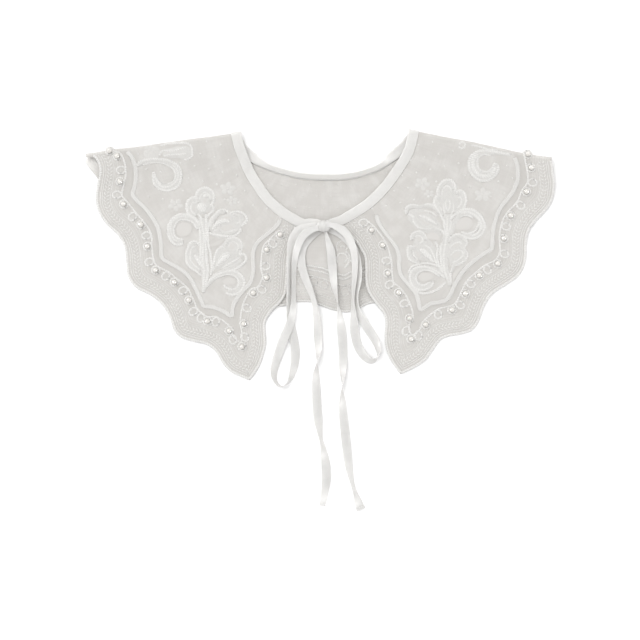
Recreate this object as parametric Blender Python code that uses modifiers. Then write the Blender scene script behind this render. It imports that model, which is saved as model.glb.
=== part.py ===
"""Detachable collar: one C-shaped embroidered panel folded at both shoulders, bound neck, tied ribbons."""

import math

import bpy
import numpy as np
from mathutils import Vector
from mathutils.bvhtree import BVHTree

for old in list(bpy.data.objects):
    bpy.data.objects.remove(old, do_unlink=True)

MILLIMETRE = 0.001

# Cloth, in millimetres: wall, radius of the shoulder fold, and clearances
CLOTH = 1.0
FOLD_RADIUS = 3.3
LAYER_GAP = 0.45
SEAM_GAP = 0.35
# How far from the fold a front settles, and how it drops past the back's edge
SETTLE = 42.0
DROP_BAND = 16.0
DROP_MARGIN = 1.0
# Low swells of the fronts: height, lengths each way, where they start and how they grow
SWELL = 0.8
SWELL_ACROSS = 17.0
SWELL_DOWN = 23.0
SWELL_START = 25.0
SWELL_GROWS = 30.0
SWELL_FULL_AT = 0.9

# Neck binding; it leans up along the middle of the back's neck
BINDING_HALF_WIDTH = 4.25
BINDING_HALF_THICK = 0.9
BINDING_RISE = 0.35
BINDING_FLOOR_GAP = 0.4
BINDING_TURN_GAP = 0.3
BINDING_TURNS_OVER = 4
BINDING_LEAN = 60.0
LEAN_STARTS = 24.0
LEAN_GROWS = 26.0

# Ribbons and knot; what lies under a ribbon is looked for a little beyond its edges
RIBBON_WIDTH = 8.0
RIBBON_THICK = 1.0
RIBBON_GAP = 0.3
RIBBON_STEP = 3.2
LOOK_ASIDE = 0.6
LOOK_ALONG = 2.5
KNOT_CENTRE = (3.8, 26.4, 5.5)
KNOT_HALF = (4.6, 5.2, 4.0)
KNOT_PINCH = 0.08

# Pearls, corded line and raised embroidery
PEARL_RADIUS = 2.5
PEARL_HALF_HEIGHT = 2.3
PEARL_LIFT = 0.1
CORD_HALF_WIDTH = 1.6
CORD_HEIGHT = 1.2
CORD_STEP = 4.6
BAND_STEP = 4.2
RELIEF_GAP = 0.3
RELIEF_HEIGHT = 1.1
LEAST_RISE = 0.35
FULL_RISE_HALF_WIDTH = 2.6
LEAF_POINTS = 20
LEAF_SHOULDER = (0.86, 0.7)
LEAF_TOP = 0.45

# Rays that look for the surface start this high
RAY_HEIGHT = 60.0

FRONT_STATIONS = 64
BACK_STATIONS = 56
FOLD_STATIONS = 6
ROWS = 8

# Outlines of the laid collar, x and y, in order along each edge
LEFT_FOLD = [(-82.7, 114.1), (-101.2, 111.4), (-124.0, 108.5), (-146.8, 105.3), (-169.6, 101.9),
             (-192.4, 99.4), (-209.5, 96.6), (-221.4, 94.9)]
RIGHT_FOLD = [(93.1, 116.0), (104.0, 113.9), (121.1, 110.4), (138.2, 107.4), (155.3, 103.8),
              (172.4, 100.0), (189.5, 96.2), (206.6, 93.3), (219.9, 91.7)]
LEFT_NECK = [(-82.7, 114.1), (-80.7, 103.8), (-77.8, 94.8), (-73.8, 84.8), (-68.9, 74.3),
             (-59.8, 59.9), (-50.8, 48.0), (-37.1, 36.3), (-22.3, 27.3)]
RIGHT_NECK = [(93.1, 116.0), (90.9, 105.7), (88.1, 95.9), (84.1, 88.1), (79.3, 80.6),
              (71.7, 69.6), (64.1, 59.9), (49.9, 45.8), (33.5, 34.8), (20.4, 27.6)]
BACK_NECK = [(-82.7, 114.1), (-80.9, 106.0), (-76.9, 99.0), (-70.0, 91.6), (-60.2, 85.0),
             (-46.1, 79.1), (-29.9, 74.3), (-14.7, 71.5), (6.2, 70.4), (27.1, 71.4), (44.2, 75.2),
             (59.6, 81.2), (72.0, 89.6), (81.0, 97.6), (86.6, 103.4), (91.0, 109.4), (93.1, 116.0)]
LEFT_OUTER = [(-221.4, 94.9), (-213.0, 91.6), (-208.4, 84.0), (-208.1, 76.2), (-210.2, 65.8),
              (-211.9, 52.0), (-209.2, 40.1), (-201.9, 28.7), (-191.5, 18.8), (-185.0, 7.4),
              (-183.0, -7.4), (-181.5, -20.6), (-174.3, -31.1), (-160.1, -38.7), (-149.6, -47.3),
              (-142.5, -58.7), (-138.2, -71.0), (-131.6, -78.6), (-119.7, -82.6), (-106.9, -85.7),
              (-98.3, -92.4), (-91.7, -103.3), (-84.6, -110.9), (-75.5, -115.7), (-66.2, -119.5)]
LEFT_FRONT = [(-22.3, 27.3), (-21.9, 20.2), (-22.8, 12.6), (-26.6, 5.0), (-29.5, -3.6),
              (-30.1, -15.0), (-30.9, -27.3), (-32.3, -37.8), (-37.5, -46.3), (-44.2, -52.5),
              (-48.9, -58.7), (-51.8, -66.3), (-51.4, -75.8), (-51.1, -85.3), (-53.2, -94.8),
              (-56.5, -104.3), (-61.3, -112.8), (-66.2, -119.5)]
RIGHT_OUTER = [(219.9, 91.7), (220.9, 78.1), (222.8, 66.7), (221.8, 55.3), (219.0, 47.7),
               (213.3, 40.1), (205.7, 32.5), (200.0, 24.9), (197.1, 17.3), (196.2, 7.8),
               (196.2, -1.7), (194.3, -11.2), (188.6, -20.7), (178.1, -28.3), (164.8, -36.8),
               (157.2, -47.3), (151.5, -62.5), (146.8, -70.1), (141.1, -73.9), (132.5, -76.2),
               (123.0, -77.7), (114.5, -81.5), (105.9, -92.9), (100.2, -100.5), (88.8, -108.1),
               (77.0, -113.8)]
RIGHT_FRONT = [(20.4, 27.6), (25.2, 22.1), (29.9, 16.4), (34.7, 11.6), (39.0, 4.5), (42.6, -2.6),
               (43.5, -13.1), (43.6, -24.5), (45.1, -33.0), (48.9, -40.6), (54.1, -47.7),
               (59.4, -53.9), (61.9, -58.7), (63.0, -66.3), (62.2, -74.8), (62.6, -85.3),
               (65.1, -94.8), (69.4, -103.3), (77.0, -113.8)]
BACK_OUTER = [(-221.4, 94.9), (-222.0, 89.0), (-217.1, 81.5), (-209.5, 70.5), (-203.8, 54.4),
              (-193.3, 40.1), (-176.2, 27.8), (-161.0, 15.4), (-151.5, -1.7), (-137.3, -13.1),
              (-117.3, -17.8), (-101.2, -30.2), (-75.5, -37.8), (-50.8, -46.8), (-37.5, -49.2),
              (-30.9, -48.2), (-22.3, -45.4), (-14.7, -44.9), (-8.1, -45.4), (-1.4, -47.7),
              (13.8, -53.0), (26.1, -54.9), (35.6, -52.0), (49.9, -46.3), (76.5, -45.4),
              (100.2, -43.0), (116.4, -32.1), (135.4, -27.3), (152.5, -18.3), (162.9, -2.6),
              (181.0, 7.8), (192.4, 21.1), (200.0, 39.2), (210.4, 51.5), (216.1, 66.7),
              (219.0, 80.0), (219.9, 91.7)]

# Ribbon tables: x, y, added height, roll in degrees, share of the full width
LEFT_TAIL = [(-1.4, 20.8, 0.0, 0, 0.45), (-9.0, 15.4, 0.0, -4, 0.85), (-15.7, 6.9, 0.0, -6, 1.0),
             (-17.3, -6.4, 0.0, 8, 1.0), (-14.2, -20.7, 0.0, 20, 1.0), (-9.8, -31.6, 0.0, 38, 1.0),
             (-6.2, -41.6, 0.0, 52, 1.0), (-4.3, -49.2, 0.0, 50, 1.0), (-2.4, -61.5, 0.0, 28, 1.0),
             (-1.4, -77.7, 0.0, 12, 1.0), (-0.9, -89.1, 0.0, 34, 1.0), (-1.4, -97.6, 0.0, 62, 1.0),
             (-2.4, -104.3, 0.0, 98, 1.0), (-3.3, -117.6, 0.0, 145, 1.0),
             (-2.8, -136.6, 0.0, 172, 1.05), (-1.4, -155.6, 0.0, 166, 1.05),
             (0.2, -167.9, 0.0, 132, 1.0), (1.6, -176.5, 0.0, 114, 1.0),
             (3.6, -185.0, 0.0, 132, 1.0), (5.9, -199.3, 0.0, 168, 1.05),
             (6.4, -212.6, 0.0, 178, 1.05), (4.9, -226.8, 0.0, 150, 0.95),
             (2.7, -238.6, 0.0, 136, 0.9)]
RIGHT_TAIL = [(5.7, 20.3, 0.0, 60, 0.45), (7.6, 14.5, 0.0, 48, 0.8), (10.6, 3.1, 0.0, 16, 1.0),
              (12.1, -10.2, 0.0, 4, 1.05), (13.8, -28.3, 0.0, 40, 1.0), (15.9, -39.7, 0.0, 72, 1.0),
              (17.7, -48.7, 0.0, 98, 1.0), (19.1, -57.7, 0.0, 128, 1.0),
              (20.6, -69.1, 0.0, 164, 1.05), (21.8, -82.4, 0.0, 178, 1.05),
              (22.5, -97.6, 0.0, 184, 1.0), (22.1, -112.8, 0.0, 226, 1.0),
              (21.8, -123.3, 0.0, 264, 1.0), (21.4, -131.8, 0.0, 292, 1.0),
              (22.1, -146.1, 0.0, 336, 1.0), (23.8, -164.1, 0.0, 355, 1.05),
              (25.7, -182.2, 0.0, 360, 1.05), (28.0, -201.2, 0.0, 332, 1.0),
              (31.1, -216.4, 0.0, 300, 1.0), (34.0, -226.8, 0.0, 300, 1.0),
              (36.9, -235.4, 0.0, 334, 1.0), (39.4, -242.4, 0.0, 350, 1.05)]
LEFT_LOOP = [(-3.2, 23.8, 6.6, -12, 0.45), (-9.0, 22.2, 6.4, -16, 0.85),
             (-15.7, 16.9, 5.4, -22, 1.0), (-20.4, 7.8, 4.0, -34, 1.0), (-23.1, -3.6, 2.2, -48, 1.0),
             (-24.2, -15.9, 0.8, -58, 1.0), (-24.3, -30.2, 0.2, -60, 1.0),
             (-24.3, -43.5, 0.6, -56, 1.0), (-25.2, -54.9, 2.4, -38, 1.0),
             (-29.0, -69.1, 3.2, -16, 1.0), (-35.1, -83.4, 2.8, -4, 1.05),
             (-39.8, -97.6, 0.6, -8, 1.0), (-43.2, -110.6, 0.0, -34, 1.0),
             (-42.0, -120.2, 0.0, -66, 1.0), (-36.1, -125.6, 0.0, -84, 1.0),
             (-28.8, -121.0, 0.0, -112, 1.0), (-24.2, -107.1, 0.0, -150, 1.0),
             (-23.0, -91.9, 0.0, -174, 1.05), (-25.4, -75.8, 0.0, -168, 1.0),
             (-28.0, -59.6, 0.0, -142, 1.0), (-28.9, -44.4, 0.0, -122, 1.0),
             (-28.9, -29.2, 0.0, -120, 1.0), (-28.3, -13.1, 0.0, -124, 1.0),
             (-27.5, 2.1, 0.0, -146, 1.0), (-25.6, 14.0, 0.0, -164, 1.0),
             (-19.9, 22.6, 0.0, -174, 0.95), (-11.9, 25.9, 0.0, -178, 0.75),
             (-3.4, 27.4, 0.0, -180, 0.4)]
RIGHT_LOOP = [(10.8, 27.2, 3.4, 10, 0.45), (18.5, 24.4, 3.4, 14, 0.9), (26.1, 17.9, 3.4, 20, 1.0),
              (31.2, 6.9, 3.2, 30, 1.0), (33.3, -5.5, 2.2, 42, 1.0), (33.3, -18.8, 0.8, 50, 1.0),
              (32.1, -32.1, 0.0, 62, 1.0), (31.6, -45.4, 0.0, 70, 1.0), (32.4, -58.7, 0.0, 44, 1.0),
              (33.4, -73.6, 0.0, 8, 1.05), (37.0, -88.0, 0.0, 4, 1.05), (44.2, -98.4, 0.0, 26, 1.0),
              (51.8, -100.8, 0.0, 58, 1.0), (56.1, -93.3, 0.0, 116, 1.0), (53.7, -83.4, 0.0, 156, 1.0),
              (47.5, -72.9, 0.0, 176, 1.05), (40.4, -61.5, 0.0, 156, 1.0),
              (35.6, -50.1, 0.0, 118, 1.0), (35.2, -37.8, 0.0, 112, 1.0),
              (37.2, -25.4, 0.0, 128, 1.0), (37.3, -13.1, 0.0, 132, 1.0), (34.2, 0.2, 0.0, 150, 1.0),
              (29.0, 10.7, 0.0, 160, 1.0), (20.4, 18.4, 0.0, 170, 0.9), (10.6, 22.6, 0.0, 180, 0.4)]

# The bold corded line inside the pearl border, x and y
LEFT_CORD = [(-181.7, 96.7), (-177.2, 91.0), (-174.3, 81.9), (-173.9, 71.7), (-175.7, 62.9),
             (-177.2, 56.3), (-172.4, 50.1), (-165.8, 43.9), (-159.1, 35.4), (-153.4, 25.3),
             (-150.6, 11.6), (-149.6, -2.6), (-143.4, -7.8), (-135.4, -12.1), (-126.8, -18.3),
             (-121.1, -25.4), (-115.9, -36.3), (-111.6, -45.8), (-109.9, -49.2), (-104.0, -49.9),
             (-97.4, -51.5), (-89.8, -54.9), (-83.6, -58.6), (-82.2, -50.1), (-78.5, -42.5),
             (-72.7, -34.9), (-66.4, -28.3), (-63.7, -20.7), (-62.7, -13.1), (-63.2, -4.5),
             (-62.2, 4.0), (-58.9, 10.7), (-54.2, 15.4), (-46.6, 21.1), (-39.7, 27.8),
             (-37.5, 32.5)]
RIGHT_CORD = [(184.6, 91.0), (187.2, 82.9), (187.9, 72.4), (186.2, 65.8), (183.8, 59.6),
              (178.6, 52.5), (172.4, 44.9), (168.2, 35.9), (165.4, 26.2), (164.2, 15.4),
              (163.1, 5.5), (156.3, 0.7), (148.2, -4.9), (141.6, -10.7), (135.4, -17.5),
              (131.6, -23.5), (127.8, -30.2), (124.5, -37.8), (120.2, -43.5), (113.1, -45.8),
              (105.0, -47.3), (96.4, -52.5), (94.1, -45.4), (91.7, -37.8), (87.9, -33.0),
              (84.1, -28.3), (79.8, -23.5), (76.5, -17.8), (75.3, -10.2), (75.5, -2.6),
              (73.6, 4.5), (69.8, 10.7), (65.1, 16.9), (60.3, 23.0), (56.1, 30.2), (53.7, 37.3)]

# Pearl centres, x and y, from the fold round to the neck
LEFT_PEARLS = [(-198.5, 97.4), (-191.2, 92.4), (-188.9, 68.6), (-185.7, 47.5), (-169.3, 27.8),
               (-163.1, 7.3), (-155.4, -15.2), (-137.8, -26.6), (-124.0, -43.7), (-106.4, -63.6),
               (-85.8, -72.7), (-73.6, -87.8), (-71.8, -66.1), (-62.7, -36.9), (-50.0, -22.4),
               (-50.0, 4.2), (-37.2, 18.5)]
RIGHT_PEARLS = [(197.1, 94.4), (200.0, 81.5), (196.0, 59.1), (181.0, 36.5), (174.6, 14.8),
                (168.9, -9.0), (151.5, -20.2), (138.3, -37.3), (125.7, -52.8), (100.6, -66.9),
                (86.9, -80.5), (85.4, -60.9), (75.0, -36.4), (64.8, -18.2), (59.8, 8.5),
                (49.3, 22.8)]

# Raised satin bands of the flower motif: x, y, half width
LEFT_BANDS = {
    "stem_left": [(-111.2, -31.5, 1.2), (-107.0, -20.0, 1.9), (-103.6, -8.6, 2.2),
                  (-104.4, 3.5, 2.1), (-105.6, 15.0, 1.9), (-107.6, 25.0, 1.6),
                  (-110.8, 34.0, 1.0)],
    "scroll_low_left": [(-106.0, -28.4, 1.0), (-98.0, -21.4, 1.8), (-88.5, -18.2, 2.2),
                        (-80.4, -18.9, 2.3), (-76.2, -24.4, 2.3), (-77.8, -31.2, 2.1),
                        (-83.6, -34.2, 1.8), (-88.6, -31.0, 1.4), (-87.0, -26.4, 0.9)],
    "volute_left": [(-110.2, 18.5, 1.0), (-116.0, 26.8, 1.9), (-124.4, 32.2, 2.5),
                    (-134.2, 31.8, 3.0), (-140.6, 24.5, 3.3), (-139.8, 15.4, 2.9),
                    (-132.4, 10.6, 2.2), (-126.8, 14.4, 1.2)],
    "shoulder_scroll_left": [(-170.6, 86.0, 1.0), (-162.0, 87.6, 1.7), (-151.0, 87.8, 2.2),
                             (-141.0, 85.0, 2.5), (-134.0, 77.4, 2.6), (-134.4, 67.6, 2.6),
                             (-142.6, 61.6, 2.4), (-152.0, 64.2, 2.1), (-156.0, 72.4, 1.6),
                             (-151.0, 77.6, 0.9)],
}
RIGHT_BANDS = {
    "stem_right": [(123.0, -25.5, 1.2), (122.4, -14.0, 1.9), (118.0, -4.0, 2.2),
                   (115.4, 7.0, 2.1), (119.4, 17.6, 1.9), (121.2, 27.0, 1.6), (121.0, 36.0, 1.0)],
    "scroll_low_right": [(118.6, -24.4, 1.0), (112.0, -17.0, 1.8), (103.0, -12.4, 2.2),
                         (94.0, -14.4, 2.3), (90.0, -21.6, 2.3), (93.0, -29.0, 2.1),
                         (99.6, -31.8, 1.8), (105.0, -28.4, 1.4), (103.4, -24.0, 0.9)],
    "volute_right": [(123.4, 17.0, 1.0), (128.0, 27.6, 1.9), (135.0, 34.6, 2.5),
                     (145.2, 35.4, 3.0), (152.2, 28.4, 3.1), (149.8, 19.4, 2.8),
                     (141.0, 16.6, 2.2), (135.6, 21.0, 1.2)],
    "shoulder_scroll_right": [(180.0, 88.8, 1.0), (170.0, 92.4, 1.7), (159.0, 94.4, 2.2),
                              (149.0, 92.0, 2.5), (144.2, 84.0, 2.6), (146.0, 74.6, 2.6),
                              (154.4, 70.0, 2.5), (163.6, 73.6, 2.2), (166.4, 82.0, 1.6),
                              (161.4, 86.4, 0.9)],
}

# Raised leaves and lobes of the motif: outline points, x and y
LEFT_LEAVES = {
    "leaf_low_left": [(-110.2, -18.4), (-116.8, -16.6), (-124.4, -9.6), (-126.6, 0.6),
                      (-123.4, 11.0), (-118.0, 9.4), (-113.9, 1.6), (-110.4, -7.4)],
    "leaf_low_right": [(-99.8, -14.6), (-99.9, -4.0), (-95.6, 5.2), (-89.6, 12.6),
                       (-81.4, 14.4), (-74.8, 9.6), (-73.2, 0.0), (-77.6, -9.0), (-87.6, -13.6)],
    "leaf_mid_right": [(-102.4, 17.6), (-101.6, 26.6), (-93.0, 35.8), (-81.0, 39.2),
                       (-71.2, 35.6), (-73.8, 25.6), (-84.0, 18.2), (-94.4, 14.4)],
    "trefoil_left": [(-108.4, 38.2), (-115.6, 36.8), (-123.2, 39.6), (-126.6, 45.8),
                     (-122.6, 51.6), (-115.4, 52.4), (-115.2, 58.4), (-109.0, 63.4),
                     (-101.6, 62.0), (-99.6, 55.0), (-103.6, 49.2), (-101.2, 42.4)],
}
RIGHT_LEAVES = {
    "leaf_low_right_front": [(125.2, -12.6), (120.6, -2.4), (120.8, 9.0), (127.6, 16.0),
                             (136.4, 13.0), (138.4, 3.0), (133.4, -6.6)],
    "leaf_low_left_front": [(113.6, -8.6), (103.6, -7.6), (93.4, -4.4), (87.4, 3.8), (90.0, 12.4),
                            (95.4, 19.0), (103.0, 15.4), (109.6, 6.4), (113.0, -1.6)],
    "leaf_mid_left": [(114.8, 16.0), (104.4, 18.8), (92.0, 25.0), (83.2, 34.6), (86.6, 42.4),
                      (97.0, 42.4), (108.4, 35.4), (116.4, 26.0)],
    "trefoil_right": [(118.6, 39.6), (111.8, 43.2), (110.8, 50.4), (114.6, 57.0), (116.8, 64.6),
                      (124.0, 67.2), (129.2, 61.4), (134.6, 56.6), (135.0, 48.6), (130.6, 42.2),
                      (124.6, 38.6)],
}


def catmull(points, per_span=24):
    """A smooth line through the points, sampled densely."""
    p = np.asarray(points, float)
    ext = np.vstack([2 * p[0] - p[1], p, 2 * p[-1] - p[-2]])
    out = []
    for i in range(len(p) - 1):
        p0, p1, p2, p3 = ext[i], ext[i + 1], ext[i + 2], ext[i + 3]
        for t in np.linspace(0, 1, per_span, endpoint=False):
            out.append(0.5 * (2 * p1 + (p2 - p0) * t + (2 * p0 - 5 * p1 + 4 * p2 - p3) * t * t
                              + (3 * p1 - p0 - 3 * p2 + p3) * t ** 3))
    out.append(p[-1])
    return np.array(out)


def even(line, count):
    """The line resampled to count points evenly spaced along it."""
    steps = np.linalg.norm(np.diff(line[:, :2], axis=0), axis=1)
    along = np.concatenate([[0], np.cumsum(steps)])
    want = np.linspace(0, along[-1], count)
    return np.stack([np.interp(want, along, line[:, k]) for k in range(line.shape[1])], axis=1)


def smooth(t):
    t = np.clip(t, 0, 1)
    return t * t * (3 - 2 * t)


def inward(fold, side):
    """Unit vector across the fold, pointing into the panel."""
    run = fold[-1] - fold[0]
    run = run / np.linalg.norm(run)
    return np.array([-run[1], run[0]]) * side


def moved_start(line, target, reach=3):
    """The line with its first points eased over to a new start."""
    out = line.copy()
    shift = target - line[0]
    for i in range(min(reach, len(line))):
        out[i] = line[i] + shift * (1 - i / reach)
    return out


def coons(near, far, start, end):
    """A grid between four border lines: near and far run along, start and end run across."""
    count, rows = len(near), len(start)
    u = np.linspace(0, 1, count)[:, None, None]
    v = np.linspace(0, 1, rows)[None, :, None]
    grid = (1 - v) * near[:, None] + v * far[:, None] + (1 - u) * start[None] + u * end[None]
    corner = ((1 - u) * (1 - v) * near[0] + u * (1 - v) * near[-1]
              + (1 - u) * v * far[0] + u * v * far[-1])
    return grid - corner


def outside_distance(points, outline):
    """Distance of each point outside the closed outline, zero within it."""
    a = outline
    b = np.roll(outline, -1, axis=0)
    best = np.full(len(points), 1e9)
    inside = np.zeros(len(points), bool)
    for p, q in zip(a, b):
        d = q - p
        t = np.clip(((points - p) @ d) / max(d @ d, 1e-9), 0, 1)
        best = np.minimum(best, np.linalg.norm(points - p - t[:, None] * d, axis=1))
        cross = (p[1] > points[:, 1]) != (q[1] > points[:, 1])
        at = p[0] + (points[:, 1] - p[1]) * d[0] / (d[1] if abs(d[1]) > 1e-9 else 1e-9)
        inside ^= cross & (points[:, 0] < at)
    return np.where(inside, 0.0, best)


collection = bpy.data.collections.new("detachable_collar")
bpy.context.scene.collection.children.link(collection)


def material(name, colour, rough, sheen=0.0):
    made = bpy.data.materials.new(name)
    made.use_nodes = True
    shader = made.node_tree.nodes["Principled BSDF"]
    shader.inputs["Base Color"].default_value = (*colour, 1)
    shader.inputs["Roughness"].default_value = rough
    shader.inputs["Sheen Weight"].default_value = sheen
    return made


ORGANZA = material("organza", (0.72, 0.70, 0.67), 0.6, 0.3)
RIBBON = material("satin_ribbon", (0.80, 0.79, 0.76), 0.45, 0.4)
THREAD = material("satin_thread", (0.84, 0.83, 0.80), 0.5, 0.3)
PEARL = material("pearl", (0.85, 0.83, 0.78), 0.15)


def add_mesh(name, points, faces, made_of):
    mesh = bpy.data.meshes.new(name)
    mesh.from_pydata([tuple(MILLIMETRE * c for c in p) for p in points], [], faces)
    mesh.materials.append(made_of)
    mesh.validate()
    obj = bpy.data.objects.new(name, mesh)
    collection.objects.link(obj)
    return obj


def closed_mesh(name, points, faces, made_of):
    """A closed mesh with its faces turned out."""
    pts = np.asarray(points, float)
    volume = 0.0
    for face in faces:
        for i in range(1, len(face) - 1):
            volume += np.dot(pts[face[0]], np.cross(pts[face[i]], pts[face[i + 1]]))
    if volume < 0:
        faces = [tuple(reversed(face)) for face in faces]
    return add_mesh(name, points, faces, made_of)


def rings_to_faces(rings, count, close_ends=True):
    faces = []
    for i in range(rings - 1):
        for j in range(count):
            k = (j + 1) % count
            faces.append((i * count + j, i * count + k, (i + 1) * count + k, (i + 1) * count + j))
    if close_ends:
        faces.append(tuple(range(count - 1, -1, -1)))
        faces.append(tuple((rings - 1) * count + j for j in range(count)))
    return faces


def band_faces(rings, section):
    """Triangles of a swept band whose top and under sides share the same diagonals."""
    count = len(section)
    faces = []
    for i in range(rings - 1):
        for a in range(count):
            b = (a + 1) % count
            p, q = i * count + a, i * count + b
            r, s = q + count, p + count
            if section[a][1] + section[b][1] < 0:
                faces += [(p, q, r), (p, r, s)]
            else:
                faces += [(p, q, s), (q, r, s)]
    faces.append(tuple(range(count - 1, -1, -1)))
    faces.append(tuple((rings - 1) * count + j for j in range(count)))
    return faces


def tree_of(obj):
    """Search tree of an object's finished mesh, in millimetres."""
    bpy.context.view_layer.update()
    graph = bpy.context.evaluated_depsgraph_get()
    mesh = obj.evaluated_get(graph).to_mesh()
    points = [Vector(vertex.co) / MILLIMETRE for vertex in mesh.vertices]
    faces = [tuple(polygon.vertices) for polygon in mesh.polygons]
    obj.evaluated_get(graph).to_mesh_clear()
    return BVHTree.FromPolygons(points, faces)


def top_at(trees, x, y):
    """Height of the highest surface under the point, or of the ground."""
    best = 0.0
    for tree in trees:
        hit = tree.ray_cast(Vector((x, y, RAY_HEIGHT)), Vector((0, 0, -1)))
        if hit[0] is not None:
            best = max(best, hit[0].z)
    return best


# Panel grid
def front_columns(fold_table, neck_table, outer_table, front_table, side, back_outline):
    fold = even(catmull(fold_table), ROWS + 1)
    across = inward(fold, side)
    fold_in = fold + FOLD_RADIUS * across
    neck = moved_start(even(catmull(neck_table), FRONT_STATIONS), fold_in[0])
    outer = moved_start(even(catmull(outer_table), FRONT_STATIONS), fold_in[-1])
    front = even(catmull(front_table), ROWS + 1)
    grid = coons(neck, outer, fold_in, front)
    flat = grid.reshape(-1, 2)
    outside = outside_distance(flat, back_outline).reshape(grid.shape[:2])
    from_fold = np.maximum(0, ((grid - fold_in[None]) @ across))
    level = CLOTH / 2 + (CLOTH + LAYER_GAP) * (1 - smooth((outside - DROP_MARGIN) / DROP_BAND))
    v = np.linspace(0, 1, ROWS + 1)[None, :]
    wave = np.sin(grid[:, :, 0] / SWELL_ACROSS + grid[:, :, 1] / SWELL_DOWN)
    swell = SWELL * (0.5 + 0.5 * wave)
    swell = swell * smooth(v / SWELL_FULL_AT) * smooth((from_fold - SWELL_START) / SWELL_GROWS)
    lift = (CLOTH / 2 + 2 * FOLD_RADIUS - level) * (1 - smooth(from_fold / SETTLE))
    z = level + lift + swell
    columns = np.concatenate([grid, z[:, :, None]], axis=2)
    arcs = []
    for k in range(1, FOLD_STATIONS):
        angle = math.pi / 2 - math.pi * k / FOLD_STATIONS
        out = fold_in - across * FOLD_RADIUS * math.cos(angle)
        height = CLOTH / 2 + FOLD_RADIUS * (1 + math.sin(angle))
        arcs.append(np.concatenate([out, np.full((ROWS + 1, 1), height)], axis=1))
    return columns, arcs


left_fold_line = even(catmull(LEFT_FOLD), ROWS + 1)
right_fold_line = even(catmull(RIGHT_FOLD), ROWS + 1)
left_across = inward(left_fold_line, 1.0)
right_across = inward(right_fold_line, -1.0)
back_neck = even(catmull(BACK_NECK), BACK_STATIONS)
back_outer = even(catmull(BACK_OUTER), BACK_STATIONS)
left_in = left_fold_line + FOLD_RADIUS * left_across
right_in = right_fold_line + FOLD_RADIUS * right_across
back_neck = moved_start(back_neck, left_in[0])
back_neck = moved_start(back_neck[::-1], right_in[0])[::-1]
back_outer = moved_start(back_outer, left_in[-1])
back_outer = moved_start(back_outer[::-1], right_in[-1])[::-1]
back_grid = coons(back_neck, back_outer, left_in, right_in)
back_outline = np.concatenate([back_neck, right_in[1:-1], back_outer[::-1], left_in[1:-1][::-1]])

left_columns, left_arcs = front_columns(
    LEFT_FOLD, LEFT_NECK, LEFT_OUTER, LEFT_FRONT, 1.0, back_outline)
right_columns, right_arcs = front_columns(
    RIGHT_FOLD, RIGHT_NECK, RIGHT_OUTER, RIGHT_FRONT, -1.0, back_outline)
back_columns = np.concatenate(
    [back_grid, np.full(back_grid.shape[:2] + (1,), CLOTH / 2)], axis=2)

columns = list(left_columns[::-1]) + left_arcs
columns += list(back_columns)
columns += right_arcs[::-1] + list(right_columns)
panel_points = np.concatenate(columns)
panel_faces = []
for i in range(len(columns) - 1):
    for j in range(ROWS):
        a = i * (ROWS + 1) + j
        b = a + ROWS + 1
        panel_faces.append((a, b, b + 1, a + 1))
cloth = add_mesh("collar_cloth", panel_points, panel_faces, ORGANZA)
wall = cloth.modifiers.new("wall", "SOLIDIFY")
wall.thickness = MILLIMETRE * CLOTH
wall.offset = 0.0
wall.use_rim = True
cloth_tree = tree_of(cloth)


# Neck binding, swept beside the panel's neck edge
def unit(v):
    return v / np.linalg.norm(v)


def neck_side(line):
    """Directions in the plane, square to the line, on its left."""
    run = np.gradient(line, axis=0)
    run = run / np.linalg.norm(run, axis=1)[:, None]
    return np.stack([-run[:, 1], run[:, 0]], axis=1)


def binding_front(columns_in, side):
    """Centres and width directions from the fold to the front end."""
    edge = columns_in[:, 0, :2]
    z = columns_in[:, 0, 2] + BINDING_RISE
    out = neck_side(edge) * side
    centres = np.concatenate(
        [edge + out * (SEAM_GAP + BINDING_HALF_WIDTH), z[:, None]], axis=1)
    return centres, np.concatenate([out, np.zeros((len(out), 1))], axis=1)


left_c, left_w = binding_front(left_columns, 1.0)
right_c, right_w = binding_front(right_columns, -1.0)
back_side = neck_side(back_neck)
span = np.concatenate([[0], np.cumsum(np.linalg.norm(np.diff(back_neck, axis=0), axis=1))])
from_end = np.minimum(span, span[-1] - span)
lean = np.radians(BINDING_LEAN) * smooth((from_end - LEAN_STARTS) / LEAN_GROWS)
half_across = BINDING_HALF_WIDTH * np.cos(lean) + BINDING_HALF_THICK * np.sin(lean)
half_high = BINDING_HALF_WIDTH * np.sin(lean) + BINDING_HALF_THICK * np.cos(lean)
back_c = np.concatenate([
    back_neck + back_side * (SEAM_GAP + half_across)[:, None],
    (BINDING_FLOOR_GAP + half_high)[:, None],
], axis=1)
back_w = np.concatenate([back_side * np.cos(lean)[:, None], np.sin(lean)[:, None]], axis=1)


def binding_arc(top, bottom, across, axis_dir):
    """Half turn of the binding around the shoulder fold, from the top piece to the under one."""
    centres, widths = [], []
    middle = (top[2] + bottom[2]) / 2
    rise = (top[2] - bottom[2]) / 2
    for k in range(1, FOLD_STATIONS):
        share = k / FOLD_STATIONS
        angle = math.pi / 2 - math.pi * share
        base = top[:2] * (1 - share) + bottom[:2] * share
        place = base - across * (FOLD_RADIUS + BINDING_RISE) * math.cos(angle)
        centres.append([place[0], place[1], middle + rise * math.sin(angle)])
        widths.append([axis_dir[0], axis_dir[1], 0.0])
    return centres, widths


left_axis = unit(left_fold_line[0] - left_fold_line[-1])
right_axis = unit(right_fold_line[0] - right_fold_line[-1])
lc, lw = left_c.copy(), left_w.copy()
rc, rw = right_c.copy(), right_w.copy()
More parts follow.
